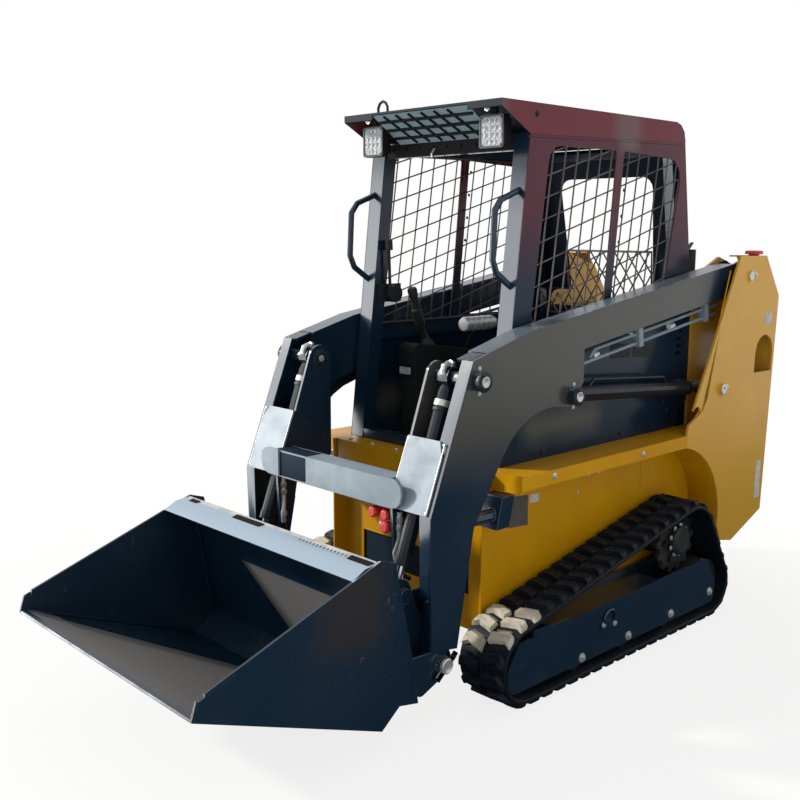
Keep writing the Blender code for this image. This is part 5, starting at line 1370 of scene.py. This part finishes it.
class OperatorPlace:
    """Seat, levers with their gaiters, console plates and a reservoir."""

    def build(self, shop: Shop) -> None:
        """Make what the driver touches."""
        self._seat(shop)
        for name, side in SIDES:
            self._lever(shop, name, side)
        self._bottle(shop)

    @staticmethod
    def _cushion(shop: Shop, name: str, middle: Point, size: Point, lean: float,
                 flutes: int) -> None:
        """One upholstered pad with a piped edge and cross flutes."""
        steps, rows = 20, 24
        spin = Matrix.Rotation(math.radians(lean), 3, "X")
        form = Form()
        grid = {}
        for face in (0, 1):
            for i in range(steps + 1):
                for j in range(rows + 1):
                    u, v = 2.0 * i / steps - 1.0, 2.0 * j / rows - 1.0
                    rim = (1.0 - abs(u) ** 4) * (1.0 - abs(v) ** 4)
                    puff = rim ** 0.35
                    groove = 0.0
                    if face and abs(u) < 0.80:
                        wave = abs(math.sin(math.pi * flutes * (v + 1.0) / 2.0))
                        groove = 0.10 * max(0.0, 1.0 - wave * 5.0)
                    height = (1.0 if face else -1.0) * puff * (1.0 - groove)
                    corner = 1.0 - 0.05 * (abs(u * v) ** 3)
                    if i in (0, steps) or j in (0, rows):
                        height = 0.0
                        if face:
                            grid[(1, i, j)] = grid[(0, i, j)]
                            continue
                    point = Vector((u * size[0] * corner, v * size[1] * corner, height * size[2]))
                    grid[(face, i, j)] = form.work.verts.new(Vector(middle) + spin @ point)
        for face in (0, 1):
            for i in range(steps):
                for j in range(rows):
                    form.face([grid[(face, *at)] for at in ((i, j), (i + 1, j), (i + 1, j + 1),
                                                            (i, j + 1))])
        form.paint(1)
        u, v = size[0] * 0.955, size[1] * 0.955
        piping = [tuple(Vector(middle) + spin @ Vector((*at, 0.0)))
                  for at in rectangle(-u, -v, u, v, 0.045, 6)]
        form.tube(piping, 0.0045, 7, closed=True)
        pad = shop.place(name, form, (VINYL, CASTING), sharp=60.0, slot="black_vinyl", levels=1)
        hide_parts("seat")

    def _seat(self, shop: Shop) -> None:
        """Seat base and backrest."""
        base = Form()
        shell = rounded(((-0.200, 0.486, 0.012), (0.200, 0.486, 0.012), (0.200, 0.704, 0.030),
                         (-0.200, 0.704, 0.030)), 4)
        base.prism(shell, 0.702, 1.198, "y")
        base.paint(1)
        for side in (-1, 1):
            base.block((side * 0.150, 1.180, 0.740), (0.030, 0.012, 0.140))
            base.tube([(side * 0.196, 0.720, 0.560), (side * 0.206, 0.740, 0.560),
                       (side * 0.206, 1.120, 0.560)], 0.0060, 8)
        piece = shop.place("seat_base", base, (VINYL, CASTING), edge=0.0020, slot="black_vinyl")
        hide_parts("seat")
        self._cushion(shop, "seat_cushion", (0.0, 0.900, 0.760), (0.223, 0.257, 0.060), 2.0, 5)
        self._cushion(shop, "seat_backrest", (0.0, 1.183, 0.950), (0.213, 0.206, 0.050), 86.0, 4)

    def _lever(self, shop: Shop, name: str, side: int) -> None:
        """Bent control stick with a rubber gaiter and a moulded grip."""
        x = side * 0.280
        form = Form()
        rows = [(0.0, 0.036)]
        for k in range(5):
            rows += [(0.008 + 0.012 * k, 0.033 - 0.0052 * k),
                     (0.013 + 0.012 * k, 0.027 - 0.0046 * k)]
        form.turned(rows, (x, 0.505, 1.105), (0.0, -0.2, 1.0), 20)
        grip = [(0.0, 0.012), (0.006, 0.0155), (0.030, 0.0175), (0.050, 0.0150), (0.075, 0.0185),
                (0.096, 0.0200), (0.104, 0.0160)]
        form.turned(grip, (x, 0.446, 1.252), (0.0, -0.30, 1.0), 20)
        form.paint(1)
        form.turned([(0.0, 0.005), (0.004, 0.005), (0.005, 0.0035)], (x, 0.412, 1.352),
                    (0.0, -0.30, 1.0), 10)
        for shift in (-0.028, 0.028):
            form.bolt((x + shift, 0.455, 1.112), UP, 0.009)
        shop.place(f"control_lever_{name}", form, (VINYL, RED), sharp=50.0, slot="black_vinyl")
        plate = Form()
        plate.prism(rectangle(x - 0.030, 1.012, x + 0.030, 1.040, 0.004), 0.3795, 0.3845, "y")
        for shift in (-0.022, 0.022):
            plate.bolt((x + shift, 0.3795, 1.026), FORWARD, 0.006)
        shop.place(f"console_plate_{name}", plate, (LAMP,), edge=0.0006, slot="bare_steel")

    @staticmethod
    def _bottle(shop: Shop) -> None:
        """Pale ribbed reservoir that lies beside the seat."""
        rows = [(0.0, 0.012), (0.002, 0.026)]
        for k in range(5):
            rows += [(0.010 + 0.034 * k, 0.030), (0.030 + 0.034 * k, 0.030),
                     (0.033 + 0.034 * k, 0.0275), (0.041 + 0.034 * k, 0.0275)]
        rows += [(0.181, 0.026), (0.183, 0.010)]
        form = Form().turned(rows, (-0.200, 0.628, 1.200), BACKWARD, 24)
        form.paint(1).tube([(-0.200, 0.700, 1.170), (-0.230, 0.700, 1.140), (-0.250, 0.700, 1.100)],
                           0.007, 8)
        shop.place("reservoir", form, (LAMP, CASTING), sharp=50.0, slot="bare_steel")


# ------------------------------------------------------------------ arms and bucket
@dataclass
class ArmShell:
    """Loader arm whose lower leg is open on its inner side below the cross tube."""

    span: Flat = (0.295, 0.4375)                # across, from the centre plane
    opening: tuple[Flat, ...] = ((-0.150, 0.668), (-0.156, 0.628), (-0.193, 0.492), (-0.200, 0.400),
                                 (0.100, 0.400), (0.100, 0.668))

    def build(self, shop: Shop) -> None:
        """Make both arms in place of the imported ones."""
        for (name, side), finish in zip(SIDES, (ARM_LEFT, ARM_RIGHT)):
            source = shop.frame["nodes"][f"loader_arm_{name}"]
            work = bmesh.new()
            work.from_mesh(source.data)
            bmesh.ops.remove_doubles(work, verts=work.verts, dist=1e-5)
            mesh = bpy.data.meshes.new(f"arm_shell_{name}")
            work.to_mesh(mesh)
            work.free()
            arm = put(f"arm_shell_{name}", mesh)
            arm.matrix_world = source.matrix_world
            self._open(arm, side)
            arm.data.materials.clear()
            for paint in (finish, EDGE_WEAR_AND_HIGHLIGHT):
                arm.data.materials.append(shop.palette.get(paint))
            soften(arm, EDGE, EDGE_ANGLE).material = 1
            arm.modifiers.new("even", "WEIGHTED_NORMAL").keep_sharp = False
            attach(arm, Body.ARMS.value)
            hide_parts(f"loader_arm_{name}")
            LOG.info("made %s", arm.name)

    def _open(self, arm: bpy.types.Object, side: int) -> None:
        """Take the rear part of the lower inner plate away."""
        form = Form()
        outline = [(y - Shop.FRONT, z) for y, z in self.opening]
        form.prism(outline, side * self.span[0], side * self.span[1])
        bmesh.ops.recalc_face_normals(form.work, faces=form.work.faces)
        mesh = bpy.data.meshes.new("opening")
        form.work.to_mesh(mesh)
        form.work.free()
        opening = put("opening", mesh)
        carve = arm.modifiers.new("carve", "BOOLEAN")
        carve.operation = "DIFFERENCE"
        carve.solver = "EXACT"
        carve.object = opening
        shape = arm.evaluated_get(bpy.context.evaluated_depsgraph_get())
        arm.data = bpy.data.meshes.new_from_object(shape)
        arm.modifiers.clear()
        for face in arm.data.polygons:
            face.use_smooth = True
        bpy.data.objects.remove(opening)


@dataclass
class ArmFittings:
    """Pin ends, cover bolts, hydraulic fittings and painted highlight dashes on the arms' top
    flanges.
    """

    outer: float = 0.486
    kink: Flat = (-0.243, 0.696)
    knee: Flat = (-0.059, 1.173)
    tilt_way: Point = (0.0, -0.338, -0.941)     # of the tilt cylinder, downwards
    pins: tuple = ((-0.035, 1.108, 0.5165), (0.455, 1.008, 0.5165))     # y, z, distance out
    tower_pins: tuple = ((1.590, 1.393, 0.5362, 0.020), (1.402, 0.938, 0.5422, 0.022))  # and radius
    flange: tuple[Flat, Flat] = ((0.220, 1.249), (1.530, 1.443))        # along the beam's top
    highlight_dashes: tuple[Flat, ...] = ((0.560, 0.640), (0.665, 0.790), (0.815, 0.835), (0.860, 0.905),
                                (0.990, 1.010), (1.075, 1.180), (1.200, 1.235))

    def build(self, shop: Shop) -> None:
        """Make the fittings of both arms and of the cross tube."""
        for name, side in SIDES:
            self._pins(shop, name, side)
            self._covers(shop, name, side)
            self._hydraulics(shop, name, side)
            self._edges(shop, name, side)
        self._couplers(shop)

    def _pins(self, shop: Shop, name: str, side: int) -> None:
        """Dark bosses with bright pin ends, keepers and bolts."""
        out = (side, 0.0, 0.0)
        form = Form()
        for y, z, x in self.pins:
            form.paint(0).turned([(-0.006, 0.0325), (0.0012, 0.0325), (0.0026, 0.0300)],
                                 (side * x, y, z), out, 32)
            form.paint(1).turned([(0.0, 0.0185), (0.0042, 0.0185), (0.0054, 0.0160),
                                  (0.0040, 0.0075), (0.0030, 0.0040)], (side * x, y, z), out, 28)
            for dz in (-0.040, 0.040):
                form.paint(1).bolt((side * self.outer, y + 0.006, z + dz), out, 0.009)
            form.paint(0).turned([(0.0, 0.0042), (0.009, 0.0042), (0.011, 0.0028)],
                                 (side * (x + 0.002), y - 0.010, z + 0.020), (side, 0.0, 0.4), 10)
        inward = (-side, 0.0, 0.0)
        form.paint(0).turned([(-0.004, 0.0330), (0.0012, 0.0330), (0.0026, 0.0300)],
                             (side * 0.2990, -0.035, 1.108), inward, 32)
        form.paint(1).turned([(0.0, 0.0120), (0.0016, 0.0120), (0.0022, 0.0100)],
                             (side * 0.2918, -0.035, 1.108), inward, 24)
        y, z = -0.170, 0.203
        keeper = rounded(with_radius(((y - 0.047, z - 0.034), (y - 0.030, z - 0.048),
                                      (y + 0.062, z + 0.022), (y + 0.045, z + 0.036)), 0.016), 4)
        form.paint(1).prism(keeper, side * 0.4825, side * 0.4875)
        form.turned([(0.0, 0.026), (0.010, 0.026), (0.013, 0.022), (0.008, 0.012), (0.008, 0.006)],
                    (side * 0.4870, y, z), out, 28)
        form.paint(2).turned([(0.0, 0.0062), (0.0012, 0.0062)],
                             (side * 0.4870, y + 0.040, z + 0.020), out, 14)
        shop.place(f"arm_pins_{name}", form, (CASTING, BRIGHT, VINYL), body=Body.ARMS, edge=0.0005,
                   slot="bare_steel")
        tower = Form()
        for y, z, x, radius in self.tower_pins:
            tower.paint(0).turned([(-0.001, radius + 0.012), (0.0010, radius + 0.012),
                                   (0.0016, radius + 0.010)], (side * 0.530, y, z), out, 32)
            tower.paint(1).turned([(0.0, radius), (0.0030, radius), (0.0042, radius - 0.003),
                                   (0.0020, 0.006), (0.0010, 0.004)], (side * x, y, z), out, 28)
            tower.bolt((side * 0.530, y + 0.046, z + 0.006), out, 0.012)
        shop.place(f"tower_pins_{name}", tower, (TOWER_YELLOW, BRIGHT), edge=0.0005,
                   slot="bare_steel")

    def _slope(self, along: float, off: float = 0.0) -> Flat:
        """Point on the leg's front face, by the distance from the knee towards the kink."""
        run = (self.kink[0] - self.knee[0], self.kink[1] - self.knee[1])
        length = math.hypot(*run)
        way = (run[0] / length, run[1] / length)
        return (self.knee[0] + way[0] * along + way[1] * off,
                self.knee[1] + way[1] * along - way[0] * off)

    @staticmethod
    def _pipe(y: float) -> float:
        """Height of the pipes that run along the beam."""
        return 1.168 + (y - 0.518) * 0.146

    def _covers(self, shop: Shop, name: str, side: int) -> None:
        """Bolts and weld runs on the bright cover plates, and the open flange by the knee."""
        out = Vector((0.0, self.kink[1] - self.knee[1],
                      -(self.kink[0] - self.knee[0]))).normalized()
        form = Form()
        for x, along in ((0.306, 0.276), (0.464, 0.276), (0.306, 0.494), (0.464, 0.494),
                         (0.325, 0.430), (0.330, 0.438), (0.322, 0.446)):
            y, z = self._slope(along, 0.0060)
            form.turned([(0.0, 0.0048), (0.0012, 0.0042), (0.0018, 0.0024)], (side * x, y, z),
                        tuple(out), 9)
        for x in (0.3025, 0.4675):
            form.weld((side * x, *self._slope(0.272, 0.006)),
                      (side * x, *self._slope(0.498, 0.006)), 0.0026)
        form.paint(1)
        low, high = (0.006, 1.1915), (-0.057, 1.1745)
        form.loft([[(side * x, y, z) for x, y, z in ((w, low[0], low[1]), (w, high[0], high[1]),
                                                     (w, high[0] + 0.004, high[1] - 0.009),
                                                     (w, low[0] + 0.002, low[1] - 0.009))]
                   for w in (0.412, 0.4755)])
        shop.place(f"arm_cover_bolts_{name}", form, (BRIGHT, SLATE), body=Body.ARMS, edge=0.0005,
                   slot="bare_steel")

    def _hydraulics(self, shop: Shop, name: str, side: int) -> None:
        """Elbows, clamps and collars where the oil is led to the cylinders."""
        form = Form()
        x = side * 0.445
        for y in (0.386, 0.860):
            z = self._pipe(y) - 0.030
            form.bolt((x - side * 0.002, y, z + 0.012), DOWN, 0.013)
        for y in (0.620, 1.120):
            z = self._pipe(y) - 0.050
            form.turned([(0.0, 0.0125), (0.018, 0.0125), (0.020, 0.0105), (0.034, 0.0105)],
                        (x, y, z), (0.0, 1.0, 0.145), 6)
        shop.place(f"pipe_fittings_{name}", form, (BRIGHT,), body=Body.ARMS, edge=0.0005,
                   slot="bare_steel")
        elbow = Form()
        x = side * 0.362
        route = [(x, -0.062, 1.112), (x, -0.066, 1.130), (x, -0.060, 1.146), (x, -0.044, 1.152),
                 (x, -0.026, 1.146)]
        elbow.tube(route, 0.0105, 10)
        for place, along in ((route[0], (0.0, -0.2, 1.0)), ((x, -0.036, 1.151), (0.0, 1.0, -0.3))):
            elbow.turned([(0.0, 0.0150), (0.012, 0.0150), (0.014, 0.0125)], place, along, 6)
        shop.place(f"tilt_elbow_{name}", elbow, (BRIGHT,), body=Body.ARMS, edge=0.0004,
                   slot="bare_steel")
        collar = Form()
        collar.turned([(0.0, 0.0285), (0.002, 0.0300), (0.020, 0.0300), (0.022, 0.0285)],
                      (x, -0.0610, 1.0355), self.tilt_way, 28)
        collar.paint(1).turned([(0.0, 0.0290), (0.002, 0.0302), (0.010, 0.0302), (0.012, 0.0290)],
                               (x, -0.0700, 1.0105), self.tilt_way, 28)
        shop.place(f"tilt_collar_{name}", collar, (BRIGHT, CASTING), body=f"tilt_barrel_{name}",
                   slot="bare_steel")

    def _edges(self, shop: Shop, name: str, side: int) -> None:
        """Bright dashes along the beam's top flange: a painted highlight."""
        form = Form()
        (y0, z0), (y1, z1) = self.flange
        for ends in self.highlight_dashes:
            places = [(y, z0 + (y - y0) * ((z1 - z0) / (y1 - y0))) for y in ends]
            form.loft([[(side * 0.4790, y, z + 0.0002), (side * 0.4845, y, z + 0.0002),
                        (side * 0.4845, y, z + 0.0010), (side * 0.4790, y, z + 0.0010)]
                       for y, z in places])
        shop.place(f"flange_highlight_dashes_{name}", form, (ZINC_AND_GLARE,), body=Body.ARMS, slot="slate_paint")

    @staticmethod
    def _couplers(shop: Shop) -> None:
        """Collars, bolts and pipes of the couplers, and a dark navy block on the cross tube's far
        end: a painted dark reflection.
        """
        form = Form()
        for x, z in ((0.203, 0.664), (0.262, 0.664), (0.262, 0.622)):
            form.turned([(0.0, 0.0185), (0.006, 0.0205), (0.010, 0.0185), (0.014, 0.0205),
                         (0.018, 0.0175)], (x, -0.178, z), FORWARD, 16)
        form.paint(1)
        for z in (0.608, 0.690):
            for x in (0.188, 0.290):
                form.bolt((x, -0.1765, z), FORWARD, 0.010)
        dark_reflection_block = Form()
        dark_reflection_block.prism(rectangle(-0.2508, 0.6992, -0.1672, 0.7978, 0.010), -0.2995, -0.121)
        shop.place("cross_tube_painted_dark_end", dark_reflection_block, (PAINTED_SHADE_NAVY,), body=Body.ARMS, slot="slate_paint")
        shop.place("coupler_collars", form, (RED, BRIGHT), body=Body.ARMS, edge=0.0005,
                   slot="red_plastic")
        hose = Form()
        for (_, side), x, y in zip(SIDES, (0.320, -0.300), (-0.216, -0.212)):
            for z in (0.668, 0.640, 0.560):
                hose.paint(0).turned([(0.0, 0.0125), (0.016, 0.0125), (0.018, 0.0105)], (x, y, z),
                                     DOWN, 6)
            hose.paint(0).tube([(x, y, 0.685), (x, y, 0.600), (x - side * 0.004, y - 0.004, 0.575),
                                (x - side * 0.010, y - 0.010, 0.548),
                                (x - side * 0.006, y - 0.006, 0.520)], 0.0090, 10)
            hose.paint(1).tube([(x - side * 0.006, y - 0.006, 0.522), (x, y + 0.004, 0.490),
                                (x + side * 0.004, y + 0.020, 0.466),
                                (x + side * 0.008, y + 0.040, 0.455)], 0.0075, 10)
        shop.place("coupler_pipes", hose, (BRIGHT, CASTING), body=Body.ARMS, sharp=50.0,
                   slot="bare_steel")


@dataclass
class BucketFittings:
    """Cutter plates, weld runs, cutting edge and lip strips of the bucket."""

    half: float = 0.517
    strips: tuple = (           # slot, from x, to x, from and to as shares of the slope, thickness
        (0, -0.505, 0.505, 0.02, 0.14, 0.0022), (0, -0.400, -0.205, 0.14, 0.46, 0.0030),
        (0, 0.150, 0.395, 0.14, 0.50, 0.0030), (0, -0.020, 0.140, 0.18, 0.30, 0.0026),
        (1, -0.190, -0.035, 0.12, 0.62, 0.0060), (1, 0.405, 0.503, 0.12, 0.66, 0.0060),
        (1, -0.470, -0.420, 0.10, 0.44, 0.0050))

    def build(self, shop: Shop) -> None:
        """Make the fittings."""
        form = Form()
        for side in (-1, 1):
            x = side * self.half
            cutter = [(-1.118, 0.3535), (-1.104, 0.4000), (-0.985, 0.4420), (-0.982, 0.3000)]
            form.prism(cutter, x - side * 0.0010, x + side * 0.0035)
            inside = x - side * 0.0085
            for start, stop in (((-1.080, 0.345), (-0.500, 0.118)),
                                ((-0.392, 0.166), (-0.460, 0.580))):
                form.weld((inside, *start), (inside, *stop), 0.0040)
            for start, stop in (((-0.357, 0.330), (-0.335, 0.150)),
                                ((-0.420, 0.600), (-0.360, 0.335))):
                ends = [(x + side * 0.0003, y - 0.004, z) for y, z in (start, stop)]
                form.weld(*ends, 0.0022)
        form.paint(1)
        edge = ((-1.1215, 0.3490), (-1.0500, 0.3215))
        form.loft([[(x, *edge[0]), (x, edge[0][0] + 0.003, edge[0][1] + 0.0066),
                    (x, edge[1][0] + 0.003, edge[1][1] + 0.0070), (x, *edge[1])]
                   for x in (-self.half + 0.008, self.half - 0.008)])
        shop.place("bucket_cutters", form, (SLATE, WORN_STEEL), body=Body.BUCKET, edge=0.0008,
                   slot="slate_paint")
        strips = Form()
        lip, drop = (-0.478, 0.6220), (-0.576, 0.5925)

        def top(share: float, off: float) -> Flat:
            """Point above the lip's sloping face, by a share of the way down."""
            return (lip[0] + (drop[0] - lip[0]) * share - 0.29 * off,
                    lip[1] + (drop[1] - lip[1]) * share + 0.957 * off)

        for slot, x0, x1, a, b, thick in self.strips:
            corners = ((a, 0.0004), (b, 0.0004), (b, thick), (a, thick))
            strips.paint(slot).loft([[(x, *top(u, off)) for u, off in corners] for x in (x0, x1)])
        strips.paint(1)
        for k in range(14):
            x = 0.165 + 0.017 * k
            strips.tube([(x, *top(0.16, 0.003)), (x + 0.006, *top(0.30, 0.0042)),
                         (x + 0.002, *top(0.48, 0.003))], 0.0016, 5)
        shop.place("bucket_lip_strips", strips, (PALE_STRIP, MATT_BLACK), body=Body.BUCKET,
                   edge=0.0006, slot="bare_steel")


class HullFittings:
    """Bolts, seams, blank plates and louvre hoods of the yellow body."""

    def build(self, shop: Shop) -> None:
        """Make both sides, the deck and the rear."""
        for name, side in SIDES:
            out = (side, 0.0, 0.0)
            form = Form()
            for y, z in ((0.310, 0.832), (0.847, 0.827)):
                form.bolt((side * 0.5305, y, z - 0.078), out, 0.013)
            for y, z in ((0.636, 0.613), (0.698, 0.668), (0.765, 0.669)):
                form.turned([(0.0, 0.0075), (0.0012, 0.0075), (0.0018, 0.0060), (0.0006, 0.0045)],
                            (side * 0.392, y, z), out, 16)
            form.paint(1)
            form.weld((side * 0.3922, 1.045, 0.690), (side * 0.3922, 1.052, 0.540), 0.0024)
            form.weld((side * 0.3922, 0.150, 0.7675), (side * 0.3922, 1.140, 0.7675), 0.0030)
            for start, stop in (((1.163, 0.780), (1.298, 0.905)), ((1.306, 0.920), (1.366, 1.180)),
                                ((1.372, 1.195), (1.446, 1.420))):
                form.weld((side * 0.5185, *start), (side * 0.5185, *stop), 0.0030)
            form.paint(2)
            form.prism(((0.350, 0.655), (0.402, 0.651), (0.404, 0.620), (0.352, 0.624)),
                       side * 0.3915, side * 0.3930)
            form.paint(3).prism(((0.236, 0.664), (0.341, 0.656), (0.344, 0.545), (0.240, 0.553)),
                                side * 0.3915, side * 0.3930)
            form.paint(2)
            for corners in (((1.742, 1.235), (1.800, 1.235), (1.800, 1.185), (1.742, 1.185)),
                            ((1.742, 0.585), (1.786, 0.585), (1.782, 0.415), (1.738, 0.415))):
                form.prism(corners, side * 0.5295, side * 0.5308)
            shop.place(f"hull_fittings_{name}", form, (BRIGHT, YELLOW, PALE_STRIP, DATA_PLATE),
                       edge=0.0004, slot="yellow_paint")
        self._deck(shop)
        self._rear(shop)

    @staticmethod
    def _deck(shop: Shop) -> None:
        """Bolts of the deck plate and the weld at the front edge."""
        form = Form()
        for k in range(6):
            form.bolt((-0.330 + 0.132 * k, 0.135, 0.7752), UP, 0.012)
        form.paint(1).weld((-0.270, 0.1585, 0.424), (0.270, 0.1585, 0.424), 0.0028)
        # Dark plate on the hull's front below the deck, in the painted-shade navy.
        form.paint(2).prism(rectangle(-0.277, 0.303, 0.277, 0.419), 0.1670, 0.1700, "y")
        shop.place("deck_bolts", form, (BRIGHT, YELLOW, PAINTED_SHADE_NAVY), edge=0.0004,
                   slot="yellow_paint")

    @staticmethod
    def _rear(shop: Shop) -> None:
        """Slanting hoods over the door's slots, its lock and the bolts of its hinges."""
        form = Form()
        for k in range(7):
            z = 0.650 + 0.060 * k
            form.prism(((1.8118, z + 0.016), (1.8245, z - 0.004), (1.8235, z - 0.008),
                        (1.8118, z + 0.010)), -0.225, 0.225)
        form.paint(1).turned([(0.0, 0.016), (0.006, 0.016), (0.009, 0.013), (0.006, 0.006),
                              (0.006, 0.003)], (0.300, 1.8118, 0.940), BACKWARD, 22)
        for z in (0.500, 1.080):
            for dz in (-0.022, 0.022):
                form.bolt((-0.312, 1.8118, z + dz), BACKWARD, 0.011)
        shop.place("rear_door_fittings", form, (YELLOW, BRIGHT), body=Body.DOOR, edge=0.0006,
                   slot="yellow_paint")


def main() -> None:
    """Load the model, dress it, add the fine parts and set the studio."""
    logging.basicConfig(level=logging.INFO, format="%(name)s: %(message)s")
    bpy.context.scene.view_settings.view_transform = "Standard"
    for thing in list(bpy.data.objects):
        bpy.data.objects.remove(thing)
    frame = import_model()
    Studio().build()
    palette = Palette()
    dresser = Dresser(frame, palette)
    dresser.dress(["hull", *both("fender")], YELLOW)
    dresser.dress([*both("tower"), "rear_door"], TOWER_YELLOW)
    # The rear panel inside the cab gets the darker navy: painted shade.
    dresser.dress(["cab_rear_panel"], PAINTED_SHADE_NAVY)
    dresser.dress(["cab_frame", "engine_hood", "quick_coupler",
                   *both("grab_handle", "arm_stop", "track_frame")], SLATE, edge_wear_and_highlight=EDGE_WEAR_AND_HIGHLIGHT)
    dresser.dress(both("lift_barrel", "tilt_barrel"), BARREL)
    dresser.dress(["bucket"], BUCKET_PAINT, edge_wear_and_highlight=EDGE_WEAR_AND_HIGHLIGHT)
    dresser.dress(both("cab_side"), CAB_PAINT_AND_REFLECTION)
    dresser.dress(["cab_roof"], ROOF_PAINTED_REFLECTION)
    # The cross tube's pale finish is a painted sky reflection; the covers and pipes are bare zinc.
    dresser.dress(["arm_cross_tube", *both("arm_cover", "arm_pipes")], ZINC_AND_GLARE)
    dresser.dress(both("lift_rod", "tilt_rod"), CHROME, edge=0.0)
    dresser.dress(["throttle_lever", *both("control_console")], VINYL)
    dresser.dress(["engine_block", "exhaust", *both("drive_sprocket", "front_idler", "rear_idler")],
                  CASTING)
    dresser.dress(both("work_light"), MATT_BLACK)
    dresser.dress(["filler_cap", "auxiliary_couplers"], RED)
    shop = Shop(frame, palette)
    for maker in (RubberTrack(), CabGuards(), TrackFrameFittings(), WorkLights(), FrontGuard(),
                  CabTrim(), OperatorPlace(), ArmShell(), ArmFittings(), BucketFittings(),
                  HullFittings()):
        maker.build(shop)


if __name__ == "__main__":
    main()
